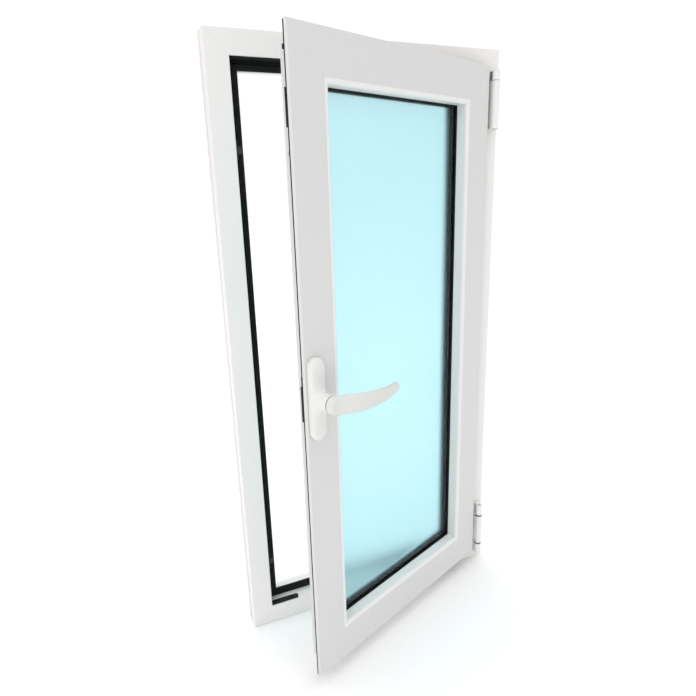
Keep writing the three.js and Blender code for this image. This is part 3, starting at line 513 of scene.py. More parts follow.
FINISHES: tuple[Finish | GlassFinish, ...] = (
    Finish("white_coat", (0.845, 0.825, 0.81), (0.83, 0.812, 0.798), 0.44, bump=0.05, dust=0.04, coat=0.06),
    # Painted shade: the sash's copy of the frame's white powder coat, darkened to the shade it takes turned
    # away from the key light
    Finish("shaded_sash_coat", (0.675, 0.672, 0.668), (0.662, 0.66, 0.656), 0.42, bump=0.05, dust=0.04, coat=0.06),
    Finish("white_bead", (0.80, 0.80, 0.785), (0.785, 0.786, 0.772), 0.38, bump=0.04, coat=0.08),
    Finish(
        "handle_white", (0.755, 0.75, 0.725), (0.745, 0.738, 0.712), 0.34, bump=0.015, coat=0.15, drift=0.5
    ),
    # Painted shade: the lever is the handle's white plastic, darkened to the shade it shows
    Finish(
        "shaded_lever_white", (0.685, 0.685, 0.655), (0.675, 0.675, 0.645), 0.36, bump=0.015, coat=0.12, drift=0.5
    ),
    Finish("hinge_white", (0.82, 0.82, 0.80), (0.80, 0.80, 0.785), 0.34, bump=0.03, coat=0.12),
    Finish(
        "gasket_rubber", (0.006, 0.007, 0.0068), (0.02, 0.022, 0.021), 0.75, bump=0.3, fine_scale=420.0,
        drift=0.5, specular=0.22,
    ),
    Finish(
        "black_moulding", (0.005, 0.0055, 0.0055), (0.014, 0.015, 0.0145), 0.5, bump=0.25, fine_scale=600.0,
        drift=0.5, specular=0.3,
    ),
    # Painted shade: zinc darkened to the black of the shaded rebate that the strikers sit in
    Finish(
        "shaded_zinc", (0.045, 0.047, 0.048), (0.09, 0.092, 0.094), 0.42, metallic=0.8, bump=0.3,
        fine_scale=500.0,
    ),
    Finish(
        "cast_zinc", (0.50, 0.51, 0.52), (0.36, 0.37, 0.38), 0.38, metallic=1.0, bump=0.35, fine_scale=500.0
    ),
    Finish("bright_steel", (0.62, 0.63, 0.64), (0.44, 0.45, 0.46), 0.28, metallic=1.0, bump=0.2, drawn=0.5),
    Finish(
        "mill_aluminium", (0.66, 0.67, 0.68), (0.55, 0.56, 0.57), 0.40, metallic=1.0, bump=0.2, drawn=0.35
    ),
    Finish(
        "spacer_bar", (0.012, 0.013, 0.013), (0.035, 0.038, 0.037), 0.42, metallic=0.2, bump=0.2, drift=0.6,
        specular=0.3,
    ),
    GlassFinish("float_glass", (0.95, 0.99, 1.0)),
    GlassFinish("satin_glass", (0.70, 0.955, 1.0), roughness=0.85, clear=0.8),
    Finish("studio_white", (0.96, 0.96, 0.96), (0.95, 0.95, 0.95), 0.9, bump=0.02, broad_scale=0.6),
)


class Palette:
    """Every finish, built once and found by name."""

    def __init__(self) -> None:
        """Builds the node groups and the materials."""
        effects = Effects()
        self._materials = {finish.name: finish.build(effects) for finish in FINISHES}

    def __getitem__(self, name: str) -> bpy.types.Material:
        """Gives the material of that name."""
        return self._materials[name]


# ---------------------------------------------------------------- shapes


@dataclass(frozen=True)
class Ring:
    """A rectangular ring; u runs inwards from its outer edge, v outdoors from its front."""

    width: float
    height: float
    front: float
    middle: float

    def reach(self, side: Side) -> float:
        """Gives the distance from the ring's centre to its outer edge on a side."""
        return self.height / 2 if side.level else self.width / 2

    def half_length(self, side: Side) -> float:
        """Gives half the length of the bar on a side, along its outer edge."""
        return self.width / 2 if side.level else self.height / 2

    def place(self, side: Side, along: float, u: float, v: float) -> Vector:
        """Places a point of a bar.

        Args:
            side: The bar's side.
            along: Distance from the bar's middle.
            u: Depth inwards.
            v: Depth outdoors.

        Returns:
            The point in the row frame.
        """
        x, z = along, u - self.reach(side)
        turned_x = x * math.cos(side.value) + z * math.sin(side.value)
        turned_z = z * math.cos(side.value) - x * math.sin(side.value)
        return Vector((turned_x, self.front + v, self.middle + turned_z))


def filleted(corners: Sequence[tuple[float, float, float]], steps: int = 4) -> Loop:
    """Rounds the corners of a closed outline.

    Args:
        corners: Each corner as x, y and radius, in millimetres.
        steps: Segments of each rounding.

    Returns:
        The outline, in metres.
    """
    outline: Loop = []
    count = len(corners)
    for index, (x, y, radius) in enumerate(corners):
        corner = Vector((x, y))
        if radius <= 0.0:
            outline.append((x * MM, y * MM))
            continue
        before = (Vector(corners[index - 1][:2]) - corner).normalized()
        after = (Vector(corners[(index + 1) % count][:2]) - corner).normalized()
        half = before.angle(after) / 2
        centre = corner + (before + after).normalized() * (radius / math.sin(half))
        first = corner + before * (radius / math.tan(half)) - centre
        last = corner + after * (radius / math.tan(half)) - centre
        for step in range(steps + 1):
            point = centre + first.slerp(last, step / steps).normalized() * first.length
            outline.append((point.x * MM, point.y * MM))
    return outline


def finished_mesh(name: str, build: bmesh.types.BMesh, smooth: float = SMOOTH_ANGLE) -> bpy.types.Object:
    """Turns a bmesh into a shaded object at the origin.

    Args:
        name: The object's name.
        build: The geometry, which is freed.
        smooth: The angle past which an edge stays sharp.

    Returns:
        The object, linked to the scene.
    """
    bmesh.ops.remove_doubles(build, verts=build.verts, dist=MERGE_DISTANCE)
    bmesh.ops.recalc_face_normals(build, faces=build.faces)
    mesh = bpy.data.meshes.new(name)
    build.to_mesh(mesh)
    build.free()
    mesh.shade_smooth()
    mesh.set_sharp_from_angle(angle=smooth)
    item = bpy.data.objects.new(name, mesh)
    bpy.context.scene.collection.objects.link(item)
    return item


def baked(item: bpy.types.Object) -> bpy.types.Object:
    """Applies an object's modifiers.

    Args:
        item: The object.

    Returns:
        The same object, with a plain mesh and no modifier.
    """
    bpy.context.view_layer.update()
    graph = bpy.context.evaluated_depsgraph_get()
    mesh = bpy.data.meshes.new_from_object(item.evaluated_get(graph))
    item.modifiers.clear()
    item.data = mesh
    return item


def flat_faced(item: bpy.types.Object) -> bpy.types.Object:
    """Gives broad faces their own normals, so that only the narrow roundings shade."""
    weighted = item.modifiers.new("weighted", "WEIGHTED_NORMAL")
    weighted.keep_sharp = True
    return baked(item)


def bridge(build: bmesh.types.BMesh, rows: Sequence[Sequence[bmesh.types.BMVert]]) -> None:
    """Skins quads between rows of vertices.

    Args:
        build: The bmesh.
        rows: Loops of equal length.
    """
    for lower, upper in zip(rows, rows[1:]):
        count = len(lower)
        for index in range(count):
            after = (index + 1) % count
            build.faces.new((lower[index], lower[after], upper[after], upper[index]))


def mitred_bar(name: str, ring: Ring, side: Side, outline: Loop) -> bpy.types.Object:
    """Makes one bar of a ring, mitred at both ends.

    Args:
        name: The piece's name.
        ring: The ring.
        side: The bar's side.
        outline: The section, as u and v.

    Returns:
        The piece.
    """
    build = bmesh.new()
    rows = []
    for end in (-1, 1):
        row = []
        for u, v in outline:
            along = end * (ring.half_length(side) - u - MITRE_GAP)
            row.append(build.verts.new(ring.place(side, along, u, v)))
        build.faces.new(row)
        rows.append(row)
    bridge(build, rows)
    build.normal_update()
    bmesh.ops.triangulate(build, faces=[face for face in build.faces if len(face.verts) > 4])
    return flat_faced(finished_mesh(name, build))


def ring_piece(name: str, ring: Ring, outline: Loop) -> bpy.types.Object:
    """Makes a one-piece ring, such as a seal, from its section.

    Args:
        name: The piece's name.
        ring: The ring.
        outline: The section, as u and v.

    Returns:
        The piece.
    """
    build = bmesh.new()
    rows = []
    for sign_x, sign_z in ((-1, -1), (1, -1), (1, 1), (-1, 1)):
        row = []
        for u, v in outline:
            x, z = sign_x * (ring.width / 2 - u), ring.middle + sign_z * (ring.height / 2 - u)
            row.append(build.verts.new((x, ring.front + v, z)))
        rows.append(row)
    bridge(build, [*rows, rows[0]])
    return flat_faced(finished_mesh(name, build))


def add_lathe(
    build: bmesh.types.BMesh,
    profile: Sequence[Point],
    place: Callable[[float, float, float], Vector],
    sides: int = 48,
) -> None:
    """Adds a turned body.

    Args:
        build: The bmesh.
        profile: Radius and height pairs in millimetres, the first and last on the axis or a closed ring.
        place: Takes two cross coordinates and a height, in metres, to the row frame.
        sides: Number of sides.
    """
    rows = []
    for radius, height in profile:
        row = []
        for index in range(sides):
            angle = 2 * math.pi * index / sides
            x, y = radius * MM * math.cos(angle), radius * MM * math.sin(angle)
            row.append(build.verts.new(place(x, y, height * MM)))
        rows.append(row)
    bridge(build, rows)
    build.faces.new(rows[0])
    build.faces.new(rows[-1])


def softened(node: bpy.types.Object, name: str, width: float, segments: int = 3) -> bpy.types.Object:
    """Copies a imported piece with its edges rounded.

    Args:
        node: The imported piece.
        name: The new piece's name.
        width: The rounding, in metres.
        segments: Segments of each rounding.

    Returns:
        The finer piece.
    """
    build = bmesh.new()
    build.from_mesh(node.data)
    bmesh.ops.remove_doubles(build, verts=build.verts, dist=PACKED_MERGE_DISTANCE)
    bmesh.ops.dissolve_limit(build, angle_limit=FLAT_ANGLE, verts=build.verts, edges=build.edges)
    mesh = bpy.data.meshes.new(name)
    build.to_mesh(mesh)
    build.free()
    item = bpy.data.objects.new(name, mesh)
    bpy.context.scene.collection.objects.link(item)
    mesh.shade_smooth()
    mesh.set_sharp_from_angle(angle=SMOOTH_ANGLE)
    bevel = item.modifiers.new("edges", "BEVEL")
    bevel.width = width
    bevel.segments = segments
    bevel.limit_method = "ANGLE"
    bevel.angle_limit = SMOOTH_ANGLE
    bevel.harden_normals = False
    return flat_faced(item)


class RowTree:
    """A geometry node tree that repeats a small turned head along a straight line."""

    def __init__(self, material: bpy.types.Material, name: str) -> None:
        """Builds the tree.

        Args:
            material: The finish of the copies.
            name: The tree's name.
        """
        tree = bpy.data.node_groups.new(name, "GeometryNodeTree")
        self.tree = tree
        face = tree.interface
        face.new_socket(name="Geometry", in_out="OUTPUT", socket_type="NodeSocketGeometry")
        for label, kind in (
            ("Start", "NodeSocketVector"),
            ("End", "NodeSocketVector"),
            ("Count", "NodeSocketInt"),
            ("Radius", "NodeSocketFloat"),
            ("Height", "NodeSocketFloat"),
            ("Sides", "NodeSocketInt"),
            ("Turn", "NodeSocketRotation"),
        ):
            face.new_socket(name=label, in_out="INPUT", socket_type=kind)
        given = tree.nodes.new("NodeGroupInput").outputs
        out = tree.nodes.new("NodeGroupOutput").inputs
        line = tree.nodes.new("GeometryNodeMeshLine")
        line.mode = "END_POINTS"
        head = tree.nodes.new("GeometryNodeMeshCylinder")
        spread = tree.nodes.new("GeometryNodeInstanceOnPoints")
        real = tree.nodes.new("GeometryNodeRealizeInstances")
        paint = tree.nodes.new("GeometryNodeSetMaterial")
        paint.inputs["Material"].default_value = material
        tree.links.new(given["Count"], line.inputs["Count"])
        tree.links.new(given["Start"], line.inputs["Start Location"])
        tree.links.new(given["End"], line.inputs["Offset"])
        tree.links.new(given["Sides"], head.inputs["Vertices"])
        tree.links.new(given["Radius"], head.inputs["Radius"])
        tree.links.new(given["Height"], head.inputs["Depth"])
        tree.links.new(line.outputs["Mesh"], spread.inputs["Points"])
        tree.links.new(head.outputs["Mesh"], spread.inputs["Instance"])
        tree.links.new(given["Turn"], spread.inputs["Rotation"])
        tree.links.new(spread.outputs["Instances"], real.inputs["Geometry"])
        tree.links.new(real.outputs["Geometry"], paint.inputs["Geometry"])
        tree.links.new(paint.outputs["Geometry"], out["Geometry"])

    def _socket(self, label: str) -> str:
        """Finds an input socket's identifier by its name."""
        return next(
            item.identifier
            for item in self.tree.interface.items_tree
            if item.item_type == "SOCKET" and item.in_out == "INPUT" and item.name == label
        )

    def row(
        self,
        name: str,
        start: Vector,
        end: Vector,
        count: int,
        radius: float,
        height: float,
        sides: int = 12,
        turn: tuple[float, float, float] = (0.0, 0.0, 0.0),
    ) -> bpy.types.Object:
        """Makes one row of heads.

        Args:
            name: The piece's name.
            start: The first head's place.
            end: The last head's place.
            count: How many heads.
            radius: A head's radius.
            height: A head's height.
            sides: A head's sides.
            turn: How the heads are turned, as XYZ angles.

        Returns:
            The row as a plain mesh.
        """
        item = bpy.data.objects.new(name, bpy.data.meshes.new(name))
        bpy.context.scene.collection.objects.link(item)
        nodes = item.modifiers.new("row", "NODES")
        nodes.node_group = self.tree
        for label, value in (
            ("Start", tuple(start)),
            ("End", tuple(end)),
            ("Count", count),
            ("Radius", radius),
            ("Height", height),
            ("Sides", sides),
            ("Turn", turn),
        ):
            nodes[self._socket(label)] = value
        baked(item)
        item.data.shade_smooth()
        item.data.set_sharp_from_angle(angle=SMOOTH_ANGLE)
        return item


def joined(name: str, parts: Sequence[bpy.types.Object]) -> bpy.types.Object:
    """Merges objects into one.

    Args:
        name: The result's name.
        parts: The objects, all at the origin.

    Returns:
        The first object, holding every mesh.
    """
    first = parts[0]
    with bpy.context.temp_override(active_object=first, selected_editable_objects=list(parts)):
        bpy.ops.object.join()
    first.name = name
    return first


# ---------------------------------------------------------------- workshop


class Part(str, Enum):
    """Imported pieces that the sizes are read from."""

    SILL = "frame_sill"
    HEAD = "frame_head"
    LOCK_JAMB = "frame_lock_jamb"
    HINGE_JAMB = "frame_hinge_jamb"


FRAME_BARS: dict[Side, str] = {
    Side.BOTTOM: Part.SILL.value,
    Side.HINGE: Part.HINGE_JAMB.value,
    Side.TOP: Part.HEAD.value,
    Side.LOCK: Part.LOCK_JAMB.value,
}
SASH_BARS: dict[Side, str] = {
    Side.BOTTOM: "sash_bottom_rail",
    Side.HINGE: "sash_hinge_stile",
    Side.TOP: "sash_top_rail",
    Side.LOCK: "sash_lock_stile",
}
BEADS: dict[Side, str] = {
    Side.BOTTOM: "glazing_bead_bottom",
    Side.HINGE: "glazing_bead_hinge_side",
    Side.TOP: "glazing_bead_top",
    Side.LOCK: "glazing_bead_lock_side",
}
CORNERS: tuple[str, ...] = ("bottom_lock", "bottom_hinge", "top_hinge", "top_lock")
LEVEL_ALONG_X: tuple[float, float, float] = (0.0, math.pi / 2, 0.0)


@dataclass
class Workshop:
    """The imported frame, the finishes and the turn that opens the sash."""

    frame: dict
    palette: Palette
    opened: Matrix = field(init=False)
    frame_ring: Ring = field(init=False)
    sash_ring: Ring = field(init=False)
    reveal: float = 0.0285
    sash_proud: float = 0.010

    def __post_init__(self) -> None:
        """Reads the hinge axis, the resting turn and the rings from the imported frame."""
        turn = next(joint for joint in self.frame["joints"] if joint["name"] == "sash_turn")
        axis = Vector((turn["pos_m"][0], turn["pos_m"][1], 0.0))
        rest = math.radians(-turn["range_deg"][0])
        self.opened = Matrix.Translation(axis) @ Matrix.Rotation(rest, 4, "Z") @ Matrix.Translation(-axis)
        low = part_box(Part.SILL.value)[0]
        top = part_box(Part.HEAD.value)[1].z
        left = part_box(Part.LOCK_JAMB.value)[0].x
        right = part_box(Part.HINGE_JAMB.value)[1].x
        self.frame_ring = Ring(right - left, top - low.z, low.y, (top + low.z) / 2)
        self.sash_ring = Ring(
            self.frame_ring.width - 2 * self.reveal,
            self.frame_ring.height - 2 * self.reveal,
            low.y - self.sash_proud,
            self.frame_ring.middle,
        )

    def dress(
        self,
        piece: bpy.types.Object,
        finish: str,
        body: Body,
        slot: str,
        nodes: Iterable[str] = (),
        shut: bool = False,
    ) -> bpy.types.Object:
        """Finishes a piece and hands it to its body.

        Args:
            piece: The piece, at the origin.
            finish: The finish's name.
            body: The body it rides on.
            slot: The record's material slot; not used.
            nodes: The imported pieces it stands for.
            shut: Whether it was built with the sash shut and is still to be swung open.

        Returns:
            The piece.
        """
        piece.data.materials.clear()
        piece.data.materials.append(self.palette[finish])
        for polygon in piece.data.polygons:
            polygon.material_index = 0
        if shut:
            piece.data.transform(self.opened)
        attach(piece, body.value)
        names = tuple(nodes)
        if names:
            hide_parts(*names)
        LOG.info("%s on %s, %s, %d faces", piece.name, body.value, finish, len(piece.data.polygons))
        return piece

    def carry(self, node: str, finish: str) -> None:
        """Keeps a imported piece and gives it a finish."""
        item = self.frame["nodes"][node]
        item.data.materials.clear()
        item.data.materials.append(self.palette[finish])
        LOG.info("%s kept, %s", node, finish)

    def soften(
        self, node: str, finish: str, body: Body, slot: str, width: float, segments: int = 3
    ) -> bpy.types.Object:
        """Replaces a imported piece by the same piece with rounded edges.

        Args:
            node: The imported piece.
            finish: The finish's name.
            body: The body it rides on.
            slot: The record's material slot.
            width: The rounding, in millimetres.
            segments: Segments of each rounding.

        Returns:
            The finer piece.
        """
        piece = softened(self.frame["nodes"][node], node + "_fine", width * MM, segments)
        return self.dress(piece, finish, body, slot, [node])


# ---------------------------------------------------------------- sub-assemblies


@dataclass
class FixedFrame:
    """The fixed frame: four mitred bars, its seal, drain caps and corner cleats. Sizes in millimetres."""

    shop: Workshop
    face: float = 35.0
    depth: float = 40.0
    stop_edge: float = 51.5
    stop_at: float = 27.0
    groove: tuple[float, float, float] = (8.0, 23.0, 31.0)
    rounding: float = 0.9
    # The dark strip of painted shade along the head and jamb reveals
    shade_lining_from: float = 2.2
    shade_lining: float = 0.8

    def outline(self) -> Loop:
        """Gives the bar's section with its edges rounded."""
        deep, near, far = self.groove
        r = self.rounding
        return filleted(
            [
                (0, 0, r),
                (self.face, 0, r),
                (self.face, self.stop_at, 0.4),
                (self.stop_edge, self.stop_at, r),
                (self.stop_edge, self.depth, r),
                (0, self.depth, r),
                (0, far, 0.3),
                (deep, far, 0.3),
                (deep, near, 0.3),
                (0, near, 0.3),
            ]
        )

    def bars(self) -> None:
        """Builds the four bars."""
        for side, node in FRAME_BARS.items():
            piece = mitred_bar(node + "_fine", self.shop.frame_ring, side, self.outline())
            self.shop.dress(piece, "white_coat", Body.FRAME, "white_coat", [node])

    def seal(self) -> None:
        """Builds the seal that stands up in a lip on the outdoor stop."""
        face, stop = self.face + 0.3, self.stop_at - 0.3
        lip = self.stop_edge - 0.9
        outline = filleted(
            [
                (face, stop, 0),
                (face, stop - 1.6, 0.4),
                (face + 5.2, stop - 1.6, 0.6),
                (face + 6.8, stop - 3.3, 0.9),
                (lip - 1.4, stop - 3.3, 1.1),
                (lip, stop - 1.8, 0.7),
                (lip, stop, 0),
            ]
        )
        piece = ring_piece("centre_gasket_fine", self.shop.frame_ring, outline)
        self.shop.dress(piece, "gasket_rubber", Body.FRAME, "rubber", ["centre_gasket"])

    def shade_linings(self) -> None:
        """Lines the reveal of the head and both jambs with a dark strip of painted shade, standing for the
        shade in the rebate; the sill, lit from above, stays bare.
        """
        near, far = self.face + 0.05, self.face + self.shade_lining
        end = self.stop_at - 2.4
        start = self.shade_lining_from
        outline = filleted([(near, start, 0.2), (far, start, 0.3), (far, end, 0), (near, end, 0)])
        for side in (Side.LOCK, Side.TOP, Side.HINGE):
            piece = mitred_bar(f"reveal_shade_lining_{side.name.lower()}", self.shop.frame_ring, side, outline)
            self.shop.dress(piece, "gasket_rubber", Body.FRAME, "rubber")

    def fittings(self) -> None:
        """Finishes the drain caps and the hidden corner cleats."""
        for side in ("lock", "hinge"):
            self.shop.soften(f"drain_cap_{side}_side", "handle_white", Body.FRAME, "white_handle", 0.9, 4)
        for corner in CORNERS:
            self.shop.carry("frame_corner_cleat_" + corner, "mill_aluminium")

    def build(self) -> None:
        """Builds the whole frame."""
        self.bars()
        self.seal()
        self.shade_linings()
        self.fittings()


@dataclass
class Locking:
    """The strikers and keeper on the frame, with their screws. Sizes in millimetres."""

    shop: Workshop
    screw_radius: float = 2.1
    screw_height: float = 0.5
    shade_socket_radius: float = 0.95
    edge: float = 0.35

    def strikers(self) -> None:
        """Rounds the strikers and the tilt keeper."""
        # The strikers take the darkened zinc: painted shade
        for node in ("striker_upper", "striker_lower", "striker_head"):
            self.shop.soften(node, "shaded_zinc", Body.FRAME, "zinc", self.edge)
        self.shop.soften("tilt_keeper", "black_moulding", Body.FRAME, "black_plastic", self.edge * 1.4)

    def screws(self) -> None:
        """Sets two screws in each striker plate."""
        # The screw heads take the darkened zinc too: painted shade
        heads = RowTree(self.shop.palette["shaded_zinc"], "screw_heads")
        # Painted shade: a flat black hexagon on each head stands for the shade inside its socket
        shade_sockets = RowTree(self.shop.palette["black_moulding"], "screw_shade_sockets")
        made: dict[str, list[bpy.types.Object]] = {"heads": [], "shade_sockets": []}
        for node in ("striker_upper", "striker_lower", "striker_head"):
            low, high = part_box(node)
            jamb = node != "striker_head"
            plate = low.x + 1.5 * MM if jamb else high.z - 1.5 * MM
            y = (low.y + high.y) / 2
            offset = 10.5 * MM
            centre = (low.z + high.z) / 2 if jamb else (low.x + high.x) / 2
            proud = self.screw_height * MM / 2
            for label, tree, radius, lift, sides in (
                ("heads", heads, self.screw_radius, 0.0, 24),
                ("shade_sockets", shade_sockets, self.shade_socket_radius, 0.03 * MM, 6),
            ):
                if jamb:
                    ends = [Vector((plate + proud + lift, y, centre + sign * offset)) for sign in (-1, 1)]
                else:
                    ends = [Vector((centre + sign * offset, y, plate - proud - lift)) for sign in (-1, 1)]
                turn = LEVEL_ALONG_X if jamb else (0.0, 0.0, 0.0)
                name = f"{node}_{label}"
                made[label].append(
                    tree.row(name, ends[0], ends[1], 2, radius * MM, self.screw_height * MM, sides, turn)
                )
        looks = (("heads", "shaded_zinc", "zinc"), ("shade_sockets", "black_moulding", "black_plastic"))
        for label, finish, slot in looks:
            piece = joined("striker_screw_" + label, made[label])
            self.shop.dress(piece, finish, Body.FRAME, slot)

    def build(self) -> None:
        """Builds the frame's locking pieces."""
        self.strikers()
        self.screws()


@dataclass
class HingeSide:
    """The hinges: knuckles, dark rings of painted shade in the knuckle gaps, pins, cover, bottom swivel and
    stay arm. Sizes in millimetres.
    """

    shop: Workshop
    knuckle_edge: float = 0.7
    cover_edge: float = 0.5
    shade_ring_radius: float = 6.5
    shade_ring_height: float = 2.6
    shade_ring_bore: float = 3.2
    shade_socket_radius: float = 1.7
    shade_socket_spread: float = 2.5

    def knuckles(self) -> None:
        """Rounds the hinge knuckles and their leaves."""
        for node in ("bottom_hinge_base", "bottom_hinge_upper_cap"):
            self.shop.soften(node, "hinge_white", Body.FRAME, "white_coat", self.knuckle_edge)
        self.shop.soften("bottom_swivel", "hinge_white", Body.CARRIER, "white_coat", self.knuckle_edge)
        self.shop.soften("top_hinge_bracket", "cast_zinc", Body.FRAME, "zinc", 0.3)
        self.shop.soften("top_hinge_cover", "hinge_white", Body.FRAME, "white_coat", self.cover_edge)
        self.shop.soften("stay_arm", "bright_steel", Body.STAY, "steel", 0.4)
        self.shop.soften("tilt_bearing", "cast_zinc", Body.SASH, "zinc", 0.5)
        for node in ("bottom_hinge_pin", "top_hinge_pin", "tilt_pin"):
            self.shop.carry(node, "bright_steel")

    def ring_on_axis(
        self, name: str, profile: Sequence[Point], axis: Vector, finish: str, body: Body, slot: str
    ) -> None:
        """Adds a turned ring about the hinge axis.

        Args:
            name: The piece's name.
            profile: Radius and height pairs in millimetres, round the ring's section.
            axis: A point on the hinge axis, whose Z is the ring's foot.
            finish: The finish's name.
            body: The body it rides on.
            slot: The record's material slot.
        """
        build = bmesh.new()
        rows = []
        for radius, height in [*profile, profile[0]]:
            row = []
            for index in range(48):
                angle = 2 * math.pi * index / 48
                turned = Vector((math.cos(angle), math.sin(angle), 0.0)) * (radius * MM)
                row.append(build.verts.new(axis + turned + Vector((0.0, 0.0, height * MM))))
            rows.append(row)
        bridge(build, rows)
        self.shop.dress(finished_mesh(name, build), finish, body, slot)

    def axis_at(self, height: float) -> Vector:
        """Gives the point of the hinge axis at a height, in metres."""
        low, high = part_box("bottom_hinge_pin")
        return Vector(((low.x + high.x) / 2, (low.y + high.y) / 2, height))

    def shade_rings(self) -> None:
        """Sets a dark ring of painted shade in each gap of the bottom hinge, standing for the shadow between
        its knuckles.
        """
        bore, rim, tall = self.shade_ring_bore, self.shade_ring_radius, self.shade_ring_height
        inner, low, high = rim - SHADE_RING_BEVEL, SHADE_RING_BEVEL, tall - SHADE_RING_BEVEL
        profile = [(bore, 0.0), (inner, 0.0), (rim, low), (rim, high), (inner, tall), (bore, tall)]
        for index, node in enumerate(("bottom_hinge_base", "bottom_swivel")):
            foot = self.axis_at(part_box(node)[1].z - (tall - KNUCKLE_GAP) / 2 * MM)
            name = f"hinge_shade_ring_{index}"
            self.ring_on_axis(name, profile, foot, "black_moulding", Body.FRAME, "black_plastic")

    def stay_sleeve(self) -> None:
        """Slips a white sleeve over the stay's knuckle."""
        low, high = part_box("top_hinge_cover")
        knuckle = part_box("top_hinge_pin")[1].z
        foot = self.axis_at(high.z + 0.7 * MM)
        tall = (knuckle - foot.z) / MM + 0.8
        rim = (high.x - low.x) / 2 / MM + 0.05
        profile = [
            (rim - 0.35, 0.0),
            (rim, 0.3),
            (rim, tall - 0.9),
            (rim - 0.3, tall - 0.3),
            (rim - 1.0, tall),
            (self.shade_ring_bore, tall),
            (self.shade_ring_bore, tall - 0.3),
            (rim - 0.35, tall - 0.9),
        ]
        self.ring_on_axis("stay_knuckle_sleeve", profile, foot, "hinge_white", Body.STAY, "white_coat")

    def recesses(self) -> None:
        """Sets two dark plugs of painted shade in the underside of the top cover, standing for the shade
        inside its two recesses.
        """
        low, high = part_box("top_hinge_cover")
        middle = (low.x + high.x) / 2
        build = bmesh.new()
        for sign in (-1, 1):
            x = middle + sign * self.shade_socket_spread * MM

            def place(a: float, b: float, c: float, across: float = x) -> Vector:
                """Hangs under the cover, behind its crown."""
                return Vector((across + a, low.y + 2.6 * MM + b, low.z + 0.5 * MM - c))

            radius = self.shade_socket_radius
            add_lathe(build, [(radius, -0.6), (radius, 0.7), (radius - 0.4, 1.0), (0.5, 1.0)], place, 24)
        piece = finished_mesh("top_cover_shade_sockets", build)
        self.shop.dress(piece, "black_moulding", Body.FRAME, "black_plastic")

    def build(self) -> None:
        """Builds the hinge side."""
        self.knuckles()
        self.shade_rings()
        self.stay_sleeve()
        self.recesses()


